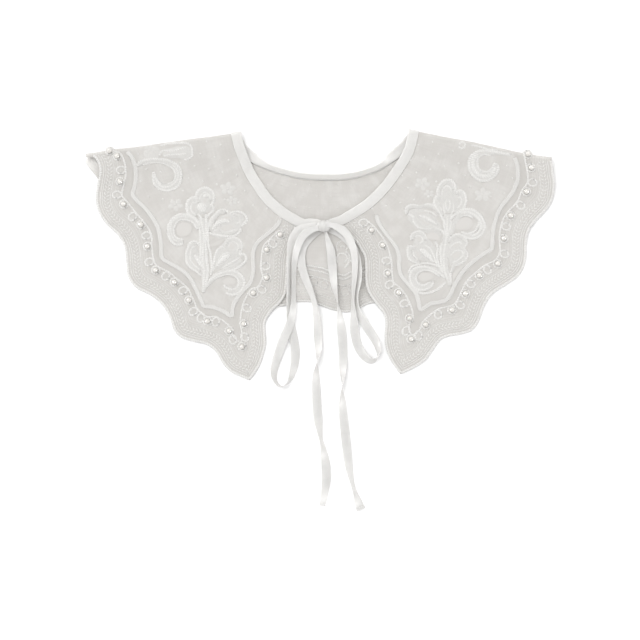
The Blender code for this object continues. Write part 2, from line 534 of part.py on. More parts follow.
# The first fold stations take the fold's own axis, so the half turn joins them squarely
for side_c, side_w, axis_dir, fold_start in ((lc, lw, left_axis, left_in[0]),
                                             (rc, rw, right_axis, right_in[0])):
    for i in range(BINDING_TURNS_OVER):
        share = i / BINDING_TURNS_OVER
        side_w[i, :2] = unit(axis_dir * (1 - share) + side_w[i, :2] * share)
    side_c[0, :2] = fold_start + axis_dir * (SEAM_GAP + BINDING_HALF_WIDTH)
bc, bw = back_c.copy(), back_w.copy()
for i in range(BINDING_TURNS_OVER):
    share = i / BINDING_TURNS_OVER
    bw[i, :2] = unit(left_axis * (1 - share) + bw[i, :2] * share)
    bw[-1 - i, :2] = unit(right_axis * (1 - share) + bw[-1 - i, :2] * share)
    outwards = SEAM_GAP + BINDING_TURN_GAP + BINDING_HALF_WIDTH
    bc[i, :2] = back_neck[i] + bw[i, :2] * outwards
    bc[-1 - i, :2] = back_neck[-1 - i] + bw[-1 - i, :2] * outwards
bc[0, :2] = left_in[0] + left_axis * (SEAM_GAP + BINDING_HALF_WIDTH)
bc[-1, :2] = right_in[0] + right_axis * (SEAM_GAP + BINDING_HALF_WIDTH)
la_c, la_w = binding_arc(lc[0], bc[0], left_across, left_axis)
ra_c, ra_w = binding_arc(rc[0], bc[-1], right_across, right_axis)

# Each front end runs on past the panel to the knot: x, y, height, share of width
LEFT_END = [(-15.6, 29.3, 2.9, 0.95), (-9.4, 30.6, 3.6, 0.85), (-3.2, 31.0, 4.6, 0.62)]
RIGHT_END = [(20.6, 32.6, 2.9, 0.95), (15.0, 31.6, 3.6, 0.85), (10.4, 31.0, 4.6, 0.6)]

path, widths, shares = [], [], []


def lay(points, dirs, share=None):
    for n, (p, w) in enumerate(zip(points, dirs)):
        path.append(list(p))
        widths.append(list(w))
        shares.append(1.0 if share is None else share[n])


left_end_w = [(0.10, 0.99, 0), (0.05, 1.0, 0), (0.0, 1.0, 0)]
right_end_w = [(-0.10, 0.99, 0), (-0.05, 1.0, 0), (0.0, 1.0, 0)]
lay([p[:3] for p in LEFT_END[::-1]], left_end_w[::-1], [p[3] for p in LEFT_END[::-1]])
lay(lc[4:-4:2][::-1], lw[4:-4:2][::-1])
lay([lc[0]], [lw[0]])
lay(la_c, la_w)
lay([bc[0]], [bw[0]])
lay(bc[1:6], bw[1:6])
lay(bc[7:-7:2], bw[7:-7:2])
lay(bc[-6:-1], bw[-6:-1])
lay([bc[-1]], [bw[-1]])
lay(ra_c[::-1], ra_w[::-1])
lay([rc[0]], [rw[0]])
lay(rc[4:-4:2], rw[4:-4:2])
lay([p[:3] for p in RIGHT_END], right_end_w, [p[3] for p in RIGHT_END])

BAND_SECTION = [(-1, -0.4), (-0.82, -1), (0.82, -1), (1, -0.4), (1, 0.4), (0.82, 1), (-0.82, 1),
                (-1, 0.4)]
path = np.array(path)
widths = np.array(widths, float)
band_points = []
tangent = np.gradient(path, axis=0)
for p, t, w, share in zip(path, tangent, widths, shares):
    t = unit(t)
    w = unit(w - t * np.dot(w, t))
    up = np.cross(t, w)
    for a, b in BAND_SECTION:
        band_points.append(p + w * a * BINDING_HALF_WIDTH * share + up * b * BINDING_HALF_THICK)
binding = closed_mesh("neck_binding", band_points,
                      band_faces(len(path), BAND_SECTION), RIBBON)
binding_tree = tree_of(binding)


# Tied knot, a pinched lump
def lump(name, centre, half, around, rings, made_of, pinch=0.0):
    points = [(centre[0], centre[1], centre[2] + half[2])]
    for i in range(1, rings):
        polar = math.pi * i / rings
        for j in range(around):
            a = 2 * math.pi * j / around
            squeeze = 1 - pinch * math.cos(2 * a) * math.sin(polar)
            points.append((centre[0] + half[0] * math.sin(polar) * math.cos(a) * squeeze,
                           centre[1] + half[1] * math.sin(polar) * math.sin(a),
                           centre[2] + half[2] * math.cos(polar)))
    points.append((centre[0], centre[1], centre[2] - half[2]))
    faces = []
    for j in range(around):
        k = (j + 1) % around
        faces.append((0, 1 + j, 1 + k))
        last = 1 + (rings - 2) * around
        faces.append((last + k, last + j, len(points) - 1))
        for i in range(rings - 2):
            a = 1 + i * around
            faces.append((a + j, a + around + j, a + around + k, a + k))
    return closed_mesh(name, points, faces, made_of)


lump("tie_knot", KNOT_CENTRE, KNOT_HALF, 14, 8, RIBBON, KNOT_PINCH)


# Ribbons, flat bands with their own rolls
FLAT_SECTION = [(-1, -1), (1, -1), (1, 1), (-1, 1)]


def stepped(table, step, least):
    """The table's smooth line, cut into even steps."""
    dense = catmull(np.array(table, float))
    length = np.linalg.norm(np.diff(dense[:, :2], axis=0), axis=1).sum()
    return even(dense, max(least, int(round(length / step))))


def ribbon(name, table):
    line = stepped(table, RIBBON_STEP, 8)
    xy, added, roll, share = line[:, :2], line[:, 2], np.radians(line[:, 3]), line[:, 4]
    run = np.gradient(xy, axis=0)
    run = run / np.linalg.norm(run, axis=1)[:, None]
    side = np.stack([-run[:, 1], run[:, 0]], axis=1)
    half = RIBBON_WIDTH / 2 * share
    under = np.zeros(len(line))
    for i in range(len(line)):
        reach = half[i] * abs(math.cos(roll[i])) + LOOK_ASIDE
        best = 0.0
        for k in np.linspace(-1, 1, 5):
            for m in (-LOOK_ALONG, 0.0, LOOK_ALONG):
                q = xy[i] + side[i] * reach * k + run[i] * m
                best = max(best, top_at([cloth_tree, binding_tree], q[0], q[1]))
        under[i] = best
    wide = np.array([under[max(0, i - 2):i + 3].max() for i in range(len(under))])
    for _ in range(3):
        wide = np.maximum(wide, np.convolve(np.pad(wide, 2, mode="edge"), np.ones(5) / 5, "valid"))
    stand = half * np.abs(np.sin(roll)) + RIBBON_THICK / 2 * np.abs(np.cos(roll))
    z = wide + RIBBON_GAP + stand + np.maximum(added, 0)
    centre = np.concatenate([xy, z[:, None]], axis=1)
    forward = np.gradient(centre, axis=0)
    points = []
    for p, t, s, a, h in zip(centre, forward, side, roll, half):
        t = unit(t)
        flat = np.array([s[0], s[1], 0.0])
        up = np.cross(t, flat)
        w = flat * math.cos(a) + up * math.sin(a)
        n = np.cross(t, w)
        for i, j in FLAT_SECTION:
            points.append(p + w * h * i + n * RIBBON_THICK / 2 * j)
    return closed_mesh(name, points, band_faces(len(centre), FLAT_SECTION), RIBBON)


for name, table in (("tail_right", RIGHT_TAIL), ("tail_left", LEFT_TAIL),
                    ("loop_left", LEFT_LOOP), ("loop_right", RIGHT_LOOP)):
    ribbon(name, table)


# Bold corded line and satin bands, half round strips moved out from the panel
STRIP_SECTION = [(-1, 0), (1, 0), (0.78, 0.68), (0, 1), (-0.78, 0.68)]


def strip(name, table, height, step):
    line = stepped(table, step, 6)
    run = np.gradient(line[:, :2], axis=0)
    run = run / np.linalg.norm(run, axis=1)[:, None]
    side = np.stack([-run[:, 1], run[:, 0]], axis=1)
    points = []
    base = []
    for p, s in zip(line, side):
        h = p[2]
        spots = [p[:2] + s * h * k for k in (-1.1, 0, 1.1)]
        base.append(max(top_at([cloth_tree], q[0], q[1]) for q in spots))
    base = np.array(base)
    base = np.array([base[max(0, i - 1):i + 2].max() for i in range(len(base))]) + RELIEF_GAP
    for p, s, z in zip(line, side, base):
        rise = height * min(1.0, LEAST_RISE + p[2] / FULL_RISE_HALF_WIDTH)
        for a, b in STRIP_SECTION:
            q = p[:2] + s * a * p[2]
            points.append((q[0], q[1], z + b * rise))
    return closed_mesh(name, points, rings_to_faces(len(line), len(STRIP_SECTION)), THREAD)


for name, table in (("corded_line_left", LEFT_CORD), ("corded_line_right", RIGHT_CORD)):
    strip(name, [(x, y, CORD_HALF_WIDTH) for x, y in table], CORD_HEIGHT, CORD_STEP)
for name, table in list(LEFT_BANDS.items()) + list(RIGHT_BANDS.items()):
    strip(name, table, RELIEF_HEIGHT, BAND_STEP)


def leaf(name, outline):
    """A low padded patch: flat underneath, domed on top."""
    closed = np.array(outline + outline[:1], float)
    ring = even(catmull(closed), LEAF_POINTS + 1)[:-1]
    middle = ring.mean(axis=0)
    heights = [top_at([cloth_tree], q[0], q[1]) for q in ring]
    heights += [top_at([cloth_tree], *(middle + (q - middle) * 0.5)) for q in ring]
    base = max(heights) + RELIEF_GAP
    points = [(q[0], q[1], base) for q in ring]
    for share, rise in (LEAF_SHOULDER, (LEAF_TOP, 1.0)):
        points += [(*(middle + (q - middle) * share), base + RELIEF_HEIGHT * rise) for q in ring]
    count = len(ring)
    faces = rings_to_faces(3, count, close_ends=False)
    faces.append(tuple(range(count - 1, -1, -1)))
    faces.append(tuple(2 * count + j for j in range(count)))
    return closed_mesh(name, points, faces, THREAD)


for name, outline in list(LEFT_LEAVES.items()) + list(RIGHT_LEAVES.items()):
    leaf(name, outline)


# Pearls, each standing just clear of the panel
def pearl(name, x, y):
    z = top_at([cloth_tree], x, y) + RELIEF_GAP + PEARL_HALF_HEIGHT
    for _ in range(20):
        near = cloth_tree.find_nearest(Vector((x, y, z)))
        if near[3] >= PEARL_HALF_HEIGHT + RELIEF_GAP:
            break
        z += PEARL_LIFT
    return lump(name, (x, y, z), (PEARL_RADIUS, PEARL_RADIUS, PEARL_HALF_HEIGHT), 8, 5, PEARL)


for number, (x, y) in enumerate(LEFT_PEARLS, 1):
    pearl(f"pearl_left_{number:02d}", x, y)
for number, (x, y) in enumerate(RIGHT_PEARLS, 1):
    pearl(f"pearl_right_{number:02d}", x, y)

# The origin is set under the middle of the collar without its free ribbons
FREE = {"tail_left", "tail_right", "loop_left", "loop_right"}
bpy.context.view_layer.update()
graph = bpy.context.evaluated_depsgraph_get()
corners = []
for obj in collection.objects:
    if obj.name in FREE:
        continue
    mesh = obj.evaluated_get(graph).to_mesh()
    co = np.empty(len(mesh.vertices) * 3, np.float32)
    mesh.vertices.foreach_get("co", co)
    corners.append(co.reshape(-1, 3).min(axis=0))
    corners.append(co.reshape(-1, 3).max(axis=0))
    obj.evaluated_get(graph).to_mesh_clear()
corners = np.array(corners)
low, high = corners.min(axis=0), corners.max(axis=0)
shift = Vector((-(low[0] + high[0]) / 2, -(low[1] + high[1]) / 2, -low[2]))
for obj in collection.objects:
    for vertex in obj.data.vertices:
        vertex.co += shift
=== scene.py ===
import math

import bpy
import numpy as np
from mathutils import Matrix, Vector
from mathutils.bvhtree import BVHTree


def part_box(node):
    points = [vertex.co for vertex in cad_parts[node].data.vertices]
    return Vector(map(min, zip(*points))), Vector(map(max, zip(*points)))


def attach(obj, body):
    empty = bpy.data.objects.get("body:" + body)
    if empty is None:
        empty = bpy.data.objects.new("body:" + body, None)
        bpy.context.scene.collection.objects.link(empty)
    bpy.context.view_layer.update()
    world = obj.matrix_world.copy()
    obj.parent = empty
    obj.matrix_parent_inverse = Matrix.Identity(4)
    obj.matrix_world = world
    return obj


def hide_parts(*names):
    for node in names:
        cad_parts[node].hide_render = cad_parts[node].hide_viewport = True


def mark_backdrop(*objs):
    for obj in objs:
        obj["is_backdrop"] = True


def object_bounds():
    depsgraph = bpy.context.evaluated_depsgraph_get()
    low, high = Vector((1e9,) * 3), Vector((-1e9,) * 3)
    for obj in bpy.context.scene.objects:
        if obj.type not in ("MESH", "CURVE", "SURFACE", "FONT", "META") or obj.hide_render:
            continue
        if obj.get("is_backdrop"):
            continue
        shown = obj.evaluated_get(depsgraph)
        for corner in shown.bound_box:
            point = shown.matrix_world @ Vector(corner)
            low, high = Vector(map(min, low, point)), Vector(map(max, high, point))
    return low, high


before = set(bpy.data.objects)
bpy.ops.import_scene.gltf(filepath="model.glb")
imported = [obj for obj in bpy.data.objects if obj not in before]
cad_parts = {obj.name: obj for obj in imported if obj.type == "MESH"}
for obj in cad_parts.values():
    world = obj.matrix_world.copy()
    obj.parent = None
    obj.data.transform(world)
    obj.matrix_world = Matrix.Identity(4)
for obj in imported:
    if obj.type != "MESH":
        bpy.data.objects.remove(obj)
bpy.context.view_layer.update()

# Sizes in millimetres, as in the solids
CLOTH = 1.0
SHEER = 0.3
FOLD_RADIUS = 3.3
LAYER_GAP = 0.45
SEAM_GAP = 0.35
SETTLE = 42.0
DROP_BAND = 16.0
DROP_MARGIN = 1.0
SWELL = 0.8
SWELL_ACROSS = 17.0
SWELL_DOWN = 23.0
SWELL_START = 25.0
SWELL_GROWS = 30.0
SWELL_FULL_AT = 0.9
CREASE_EASE = 12.0
RAY_HEIGHT = 60.0
BINDING_HALF_WIDTH = 4.25
BINDING_HALF_THICK = 0.85
BINDING_LEAN = 60.0
BINDING_RISE = 0.35
BINDING_FLOOR_GAP = 0.4
BINDING_TURN_GAP = 0.3
BINDING_TURNS_OVER = 4
LEAN_STARTS = 24.0
LEAN_GROWS = 26.0
SEAM_COVER = 1.3
ROPE_HEIGHT = 0.38
ROPE_WIDEN = 1.15
RIBBON_WIDTH = 8.0
RIBBON_THICK = 1.0
RIBBON_SHOWN_THICK = 0.5
RIBBON_GAP = 0.3
RIBBON_STEP = 3.2
LOOK_ASIDE = 0.6
LOOK_ALONG = 2.5
KNOT_CENTRE = (3.8, 26.4, 5.5)
CAD_FRONT_STATIONS = 64
CAD_BACK_STATIONS = 56

# Fineness of the cloth grid
FRONT_STATIONS = 190
BACK_STATIONS = 170
FOLD_STATIONS = 12
ROWS = 64

# Distances of the border's parts from the scalloped edge
EDGE_CORD_AT = 0.9
EDGE_CORD_HALF = 1.2
EDGE_CORD_HEIGHT = 0.45
ROW_HALF = 0.36
ROW_HEIGHT = 0.22
DASH_HEIGHT = 0.32
RING_HALF = 0.95
THIN_CORD_HALF = 0.9
THIN_CORD_HEIGHT = 0.5
BOLD_CORD_HALF = 2.1
BOLD_CORD_HEIGHT = 0.6
STITCH_ROWS = (4.0, 5.9, 13.6)
DASH_ROWS = ((8.2, 1.1), (11.0, -1.1))
BORDER_SHEER = 0.42
PEARL_RING = 3.6
LOOP_RING = (3.3, 4.2)
DOTS_DOWN_TO = 42.0
DASH_HALF = 1.25
DASH_PITCH = 3.3
BACK_RING_EDGE = 19.5
BACK_LINES = (24.6, 30.2, 33.8)

# Directions of the two small glints, and their strength
GLINTS = ((-17, -72), (18, 74))
GLINT_STRENGTH = 8.0
GLINT_SPREAD = 15

# Photo framing: 640 pixels across, 0.95 mm each
PIXEL = 0.95
PHOTO_SIDE = 640
CAMERA_HEIGHT = 1.5
LOOK_AT_MM = (0.475, -62.5)

# Outlines of the laid collar, x and y, in order along each edge
LEFT_FOLD = [(-82.7, 114.1), (-101.2, 111.4), (-124.0, 108.5), (-146.8, 105.3), (-169.6, 101.9),
             (-192.4, 99.4), (-209.5, 96.6), (-221.4, 94.9)]
RIGHT_FOLD = [(93.1, 116.0), (104.0, 113.9), (121.1, 110.4), (138.2, 107.4), (155.3, 103.8),
              (172.4, 100.0), (189.5, 96.2), (206.6, 93.3), (219.9, 91.7)]
LEFT_NECK = [(-82.7, 114.1), (-80.7, 103.8), (-77.8, 94.8), (-73.8, 84.8), (-68.9, 74.3),
             (-59.8, 59.9), (-50.8, 48.0), (-37.1, 36.3), (-22.3, 27.3)]
RIGHT_NECK = [(93.1, 116.0), (90.9, 105.7), (88.1, 95.9), (84.1, 88.1), (79.3, 80.6),
              (71.7, 69.6), (64.1, 59.9), (49.9, 45.8), (33.5, 34.8), (20.4, 27.6)]
BACK_NECK = [(-82.7, 114.1), (-80.9, 106.0), (-76.9, 99.0), (-70.0, 91.6), (-60.2, 85.0),
             (-46.1, 79.1), (-29.9, 74.3), (-14.7, 71.5), (6.2, 70.4), (27.1, 71.4), (44.2, 75.2),
             (59.6, 81.2), (72.0, 89.6), (81.0, 97.6), (86.6, 103.4), (91.0, 109.4), (93.1, 116.0)]
LEFT_OUTER = [(-221.4, 94.9), (-213.0, 91.6), (-208.4, 84.0), (-208.1, 76.2), (-210.2, 65.8),
              (-211.9, 52.0), (-209.2, 40.1), (-201.9, 28.7), (-191.5, 18.8), (-185.0, 7.4),
              (-183.0, -7.4), (-181.5, -20.6), (-174.3, -31.1), (-160.1, -38.7), (-149.6, -47.3),
              (-142.5, -58.7), (-138.2, -71.0), (-131.6, -78.6), (-119.7, -82.6), (-106.9, -85.7),
              (-98.3, -92.4), (-91.7, -103.3), (-84.6, -110.9), (-75.5, -115.7), (-66.2, -119.5)]
LEFT_FRONT = [(-22.3, 27.3), (-21.9, 20.2), (-22.8, 12.6), (-26.6, 5.0), (-29.5, -3.6),
              (-30.1, -15.0), (-30.9, -27.3), (-32.3, -37.8), (-37.5, -46.3), (-44.2, -52.5),
              (-48.9, -58.7), (-51.8, -66.3), (-51.4, -75.8), (-51.1, -85.3), (-53.2, -94.8),
              (-56.5, -104.3), (-61.3, -112.8), (-66.2, -119.5)]
RIGHT_OUTER = [(219.9, 91.7), (220.9, 78.1), (222.8, 66.7), (221.8, 55.3), (219.0, 47.7),
               (213.3, 40.1), (205.7, 32.5), (200.0, 24.9), (197.1, 17.3), (196.2, 7.8),
               (196.2, -1.7), (194.3, -11.2), (188.6, -20.7), (178.1, -28.3), (164.8, -36.8),
               (157.2, -47.3), (151.5, -62.5), (146.8, -70.1), (141.1, -73.9), (132.5, -76.2),
               (123.0, -77.7), (114.5, -81.5), (105.9, -92.9), (100.2, -100.5), (88.8, -108.1),
               (77.0, -113.8)]
RIGHT_FRONT = [(20.4, 27.6), (25.2, 22.1), (29.9, 16.4), (34.7, 11.6), (39.0, 4.5), (42.6, -2.6),
               (43.5, -13.1), (43.6, -24.5), (45.1, -33.0), (48.9, -40.6), (54.1, -47.7),
               (59.4, -53.9), (61.9, -58.7), (63.0, -66.3), (62.2, -74.8), (62.6, -85.3),
               (65.1, -94.8), (69.4, -103.3), (77.0, -113.8)]
BACK_OUTER = [(-221.4, 94.9), (-222.0, 89.0), (-217.1, 81.5), (-209.5, 70.5), (-203.8, 54.4),
              (-193.3, 40.1), (-176.2, 27.8), (-161.0, 15.4), (-151.5, -1.7), (-137.3, -13.1),
              (-117.3, -17.8), (-101.2, -30.2), (-75.5, -37.8), (-50.8, -46.8), (-37.5, -49.2),
              (-30.9, -48.2), (-22.3, -45.4), (-14.7, -44.9), (-8.1, -45.4), (-1.4, -47.7),
              (13.8, -53.0), (26.1, -54.9), (35.6, -52.0), (49.9, -46.3), (76.5, -45.4),
              (100.2, -43.0), (116.4, -32.1), (135.4, -27.3), (152.5, -18.3), (162.9, -2.6),
              (181.0, 7.8), (192.4, 21.1), (200.0, 39.2), (210.4, 51.5), (216.1, 66.7),
              (219.0, 80.0), (219.9, 91.7)]

# Ribbon tables: x, y, added height, roll in degrees, share of the full width
LEFT_TAIL = [(-1.4, 20.8, 0.0, 0, 0.45), (-9.0, 15.4, 0.0, -4, 0.85), (-15.7, 6.9, 0.0, -6, 1.0),
             (-17.3, -6.4, 0.0, 8, 1.0), (-14.2, -20.7, 0.0, 20, 1.0), (-9.8, -31.6, 0.0, 38, 1.0),
             (-6.2, -41.6, 0.0, 52, 1.0), (-4.3, -49.2, 0.0, 50, 1.0), (-2.4, -61.5, 0.0, 28, 1.0),
             (-1.4, -77.7, 0.0, 12, 1.0), (-0.9, -89.1, 0.0, 34, 1.0), (-1.4, -97.6, 0.0, 62, 1.0),
             (-2.4, -104.3, 0.0, 98, 1.0), (-3.3, -117.6, 0.0, 145, 1.0),
             (-2.8, -136.6, 0.0, 172, 1.05), (-1.4, -155.6, 0.0, 166, 1.05),
             (0.2, -167.9, 0.0, 132, 1.0), (1.6, -176.5, 0.0, 114, 1.0),
             (3.6, -185.0, 0.0, 132, 1.0), (5.9, -199.3, 0.0, 168, 1.05),
             (6.4, -212.6, 0.0, 178, 1.05), (4.9, -226.8, 0.0, 150, 0.95),
             (2.7, -238.6, 0.0, 136, 0.9)]
RIGHT_TAIL = [(5.7, 20.3, 0.0, 60, 0.45), (7.6, 14.5, 0.0, 48, 0.8), (10.6, 3.1, 0.0, 16, 1.0),
              (12.1, -10.2, 0.0, 4, 1.05), (13.8, -28.3, 0.0, 40, 1.0), (15.9, -39.7, 0.0, 72, 1.0),
              (17.7, -48.7, 0.0, 98, 1.0), (19.1, -57.7, 0.0, 128, 1.0),
              (20.6, -69.1, 0.0, 164, 1.05), (21.8, -82.4, 0.0, 178, 1.05),
              (22.5, -97.6, 0.0, 184, 1.0), (22.1, -112.8, 0.0, 226, 1.0),
              (21.8, -123.3, 0.0, 264, 1.0), (21.4, -131.8, 0.0, 292, 1.0),
              (22.1, -146.1, 0.0, 336, 1.0), (23.8, -164.1, 0.0, 355, 1.05),
              (25.7, -182.2, 0.0, 360, 1.05), (28.0, -201.2, 0.0, 332, 1.0),
              (31.1, -216.4, 0.0, 300, 1.0), (34.0, -226.8, 0.0, 300, 1.0),
              (36.9, -235.4, 0.0, 334, 1.0), (39.4, -242.4, 0.0, 350, 1.05)]
LEFT_LOOP = [(-3.2, 23.8, 6.6, -12, 0.45), (-9.0, 22.2, 6.4, -16, 0.85),
             (-15.7, 16.9, 5.4, -22, 1.0), (-20.4, 7.8, 4.0, -34, 1.0), (-23.1, -3.6, 2.2, -48, 1.0),
             (-24.2, -15.9, 0.8, -58, 1.0), (-24.3, -30.2, 0.2, -60, 1.0),
             (-24.3, -43.5, 0.6, -56, 1.0), (-25.2, -54.9, 2.4, -38, 1.0),
             (-29.0, -69.1, 3.2, -16, 1.0), (-35.1, -83.4, 2.8, -4, 1.05),
             (-39.8, -97.6, 0.6, -8, 1.0), (-43.2, -110.6, 0.0, -34, 1.0),
             (-42.0, -120.2, 0.0, -66, 1.0), (-36.1, -125.6, 0.0, -84, 1.0),
             (-28.8, -121.0, 0.0, -112, 1.0), (-24.2, -107.1, 0.0, -150, 1.0),
             (-23.0, -91.9, 0.0, -174, 1.05), (-25.4, -75.8, 0.0, -168, 1.0),
             (-28.0, -59.6, 0.0, -142, 1.0), (-28.9, -44.4, 0.0, -122, 1.0),
             (-28.9, -29.2, 0.0, -120, 1.0), (-28.3, -13.1, 0.0, -124, 1.0),
             (-27.5, 2.1, 0.0, -146, 1.0), (-25.6, 14.0, 0.0, -164, 1.0),
             (-19.9, 22.6, 0.0, -174, 0.95), (-11.9, 25.9, 0.0, -178, 0.75),
             (-3.4, 27.4, 0.0, -180, 0.4)]
RIGHT_LOOP = [(10.8, 27.2, 3.4, 10, 0.45), (18.5, 24.4, 3.4, 14, 0.9), (26.1, 17.9, 3.4, 20, 1.0),
              (31.2, 6.9, 3.2, 30, 1.0), (33.3, -5.5, 2.2, 42, 1.0), (33.3, -18.8, 0.8, 50, 1.0),
              (32.1, -32.1, 0.0, 62, 1.0), (31.6, -45.4, 0.0, 70, 1.0), (32.4, -58.7, 0.0, 44, 1.0),
              (33.4, -73.6, 0.0, 8, 1.05), (37.0, -88.0, 0.0, 4, 1.05), (44.2, -98.4, 0.0, 26, 1.0),
              (51.8, -100.8, 0.0, 58, 1.0), (56.1, -93.3, 0.0, 116, 1.0), (53.7, -83.4, 0.0, 156, 1.0),
              (47.5, -72.9, 0.0, 176, 1.05), (40.4, -61.5, 0.0, 156, 1.0),
              (35.6, -50.1, 0.0, 118, 1.0), (35.2, -37.8, 0.0, 112, 1.0),
              (37.2, -25.4, 0.0, 128, 1.0), (37.3, -13.1, 0.0, 132, 1.0), (34.2, 0.2, 0.0, 150, 1.0),
              (29.0, 10.7, 0.0, 160, 1.0), (20.4, 18.4, 0.0, 170, 0.9), (10.6, 22.6, 0.0, 180, 0.4)]

# The bold corded line inside the pearl border, x and y
LEFT_CORD = [(-181.7, 96.7), (-177.2, 91.0), (-174.3, 81.9), (-173.9, 71.7), (-175.7, 62.9),
             (-177.2, 56.3), (-172.4, 50.1), (-165.8, 43.9), (-159.1, 35.4), (-153.4, 25.3),
             (-150.6, 11.6), (-149.6, -2.6), (-143.4, -7.8), (-135.4, -12.1), (-126.8, -18.3),
             (-121.1, -25.4), (-115.9, -36.3), (-111.6, -45.8), (-109.9, -49.2), (-104.0, -49.9),
             (-97.4, -51.5), (-89.8, -54.9), (-83.6, -58.6), (-82.2, -50.1), (-78.5, -42.5),
             (-72.7, -34.9), (-66.4, -28.3), (-63.7, -20.7), (-62.7, -13.1), (-63.2, -4.5),
             (-62.2, 4.0), (-58.9, 10.7), (-54.2, 15.4), (-46.6, 21.1), (-39.7, 27.8),
             (-37.5, 32.5)]
RIGHT_CORD = [(184.6, 91.0), (187.2, 82.9), (187.9, 72.4), (186.2, 65.8), (183.8, 59.6),
              (178.6, 52.5), (172.4, 44.9), (168.2, 35.9), (165.4, 26.2), (164.2, 15.4),
              (163.1, 5.5), (156.3, 0.7), (148.2, -4.9), (141.6, -10.7), (135.4, -17.5),
              (131.6, -23.5), (127.8, -30.2), (124.5, -37.8), (120.2, -43.5), (113.1, -45.8),
              (105.0, -47.3), (96.4, -52.5), (94.1, -45.4), (91.7, -37.8), (87.9, -33.0),
              (84.1, -28.3), (79.8, -23.5), (76.5, -17.8), (75.3, -10.2), (75.5, -2.6),
              (73.6, 4.5), (69.8, 10.7), (65.1, 16.9), (60.3, 23.0), (56.1, 30.2), (53.7, 37.3)]

# Raised leaves and lobes of the motif: outline points, x and y
LEFT_LEAVES = {
    "leaf_low_left": [(-110.2, -18.4), (-116.8, -16.6), (-124.4, -9.6), (-126.6, 0.6),
                      (-123.4, 11.0), (-118.0, 9.4), (-113.9, 1.6), (-110.4, -7.4)],
    "leaf_low_right": [(-99.8, -14.6), (-99.9, -4.0), (-95.6, 5.2), (-89.6, 12.6),
                       (-81.4, 14.4), (-74.8, 9.6), (-73.2, 0.0), (-77.6, -9.0), (-87.6, -13.6)],
    "leaf_mid_right": [(-102.4, 17.6), (-101.6, 26.6), (-93.0, 35.8), (-81.0, 39.2),
                       (-71.2, 35.6), (-73.8, 25.6), (-84.0, 18.2), (-94.4, 14.4)],
    "trefoil_left": [(-108.4, 38.2), (-115.6, 36.8), (-123.2, 39.6), (-126.6, 45.8),
                     (-122.6, 51.6), (-115.4, 52.4), (-115.2, 58.4), (-109.0, 63.4),
                     (-101.6, 62.0), (-99.6, 55.0), (-103.6, 49.2), (-101.2, 42.4)],
}
RIGHT_LEAVES = {
    "leaf_low_right_front": [(125.2, -12.6), (120.6, -2.4), (120.8, 9.0), (127.6, 16.0),
                             (136.4, 13.0), (138.4, 3.0), (133.4, -6.6)],
    "leaf_low_left_front": [(113.6, -8.6), (103.6, -7.6), (93.4, -4.4), (87.4, 3.8), (90.0, 12.4),
                            (95.4, 19.0), (103.0, 15.4), (109.6, 6.4), (113.0, -1.6)],
    "leaf_mid_left": [(114.8, 16.0), (104.4, 18.8), (92.0, 25.0), (83.2, 34.6), (86.6, 42.4),
                      (97.0, 42.4), (108.4, 35.4), (116.4, 26.0)],
    "trefoil_right": [(118.6, 39.6), (111.8, 43.2), (110.8, 50.4), (114.6, 57.0), (116.8, 64.6),
                      (124.0, 67.2), (129.2, 61.4), (134.6, 56.6), (135.0, 48.6), (130.6, 42.2),
                      (124.6, 38.6)],
}

# Loop and pearl rings along the border: x, y, 1 for a pearl
LEFT_RINGS = [
    (-198.5, 97.4, 1), (-191.2, 92.4, 1), (-187.8, 79.4, 0), (-188.9, 68.6, 1), (-192.0, 56.3, 0),
    (-185.7, 47.5, 1), (-177.2, 35.6, 0), (-169.3, 27.8, 1), (-164.0, 17.6, 0), (-163.1, 7.3, 1),
    (-161.5, -7.4, 0), (-155.4, -15.2, 1), (-145.8, -20.7, 0), (-137.8, -26.6, 1),
    (-129.4, -34.5, 0), (-124.0, -43.7, 1), (-119.7, -54.5, 0), (-112.6, -60.6, 0),
    (-106.4, -63.6, 1), (-98.5, -64.2, 0), (-85.8, -72.7, 1), (-82.2, -81.2, 0),
    (-73.6, -87.8, 1), (-71.1, -78.6, 0), (-71.8, -66.1, 1), (-68.9, -51.3, 0), (-62.7, -36.9, 1),
    (-54.6, -33.5, 0), (-50.0, -22.4, 1), (-51.0, -11.5, 0), (-50.0, 4.2, 1), (-44.4, 10.1, 0),
    (-37.2, 18.5, 1)]
RIGHT_RINGS = [
    (197.1, 94.4, 1), (200.0, 81.5, 1), (201.7, 67.7, 0), (196.0, 59.1, 1), (190.8, 46.3, 0),
    (181.0, 36.5, 1), (177.0, 26.2, 0), (174.6, 14.8, 1), (175.3, 0.2, 0), (168.9, -9.0, 1),
    (159.1, -14.7, 0), (151.5, -20.2, 1), (143.4, -28.3, 0), (138.3, -37.3, 1), (133.5, -48.2, 0),
    (125.7, -52.8, 1), (112.6, -57.2, 0), (100.6, -66.9, 1), (94.0, -77.2, 0), (86.9, -80.5, 1),
    (82.2, -72.9, 0), (85.4, -60.9, 1), (80.8, -46.8, 0), (75.0, -36.4, 1), (66.5, -28.9, 0),
    (64.8, -18.2, 1), (63.7, -6.4, 0), (59.8, 8.5, 1), (49.3, 22.8, 1), (41.7, 29.7, 0)]

# Flat-stitch flowers: x, y, radius, turn in degrees
PALE_FLOWERS = [(-87.0, 62.0, 7.4, 10), (-136.4, 46.6, 7.0, -15), (-82.8, 50.6, 5.4, 30),
                (97.4, 66.8, 7.2, -10), (154.8, 56.4, 7.6, 15), (104.0, 57.0, 4.8, -30),
                (-160.4, 98.0, 6.0, 0)]

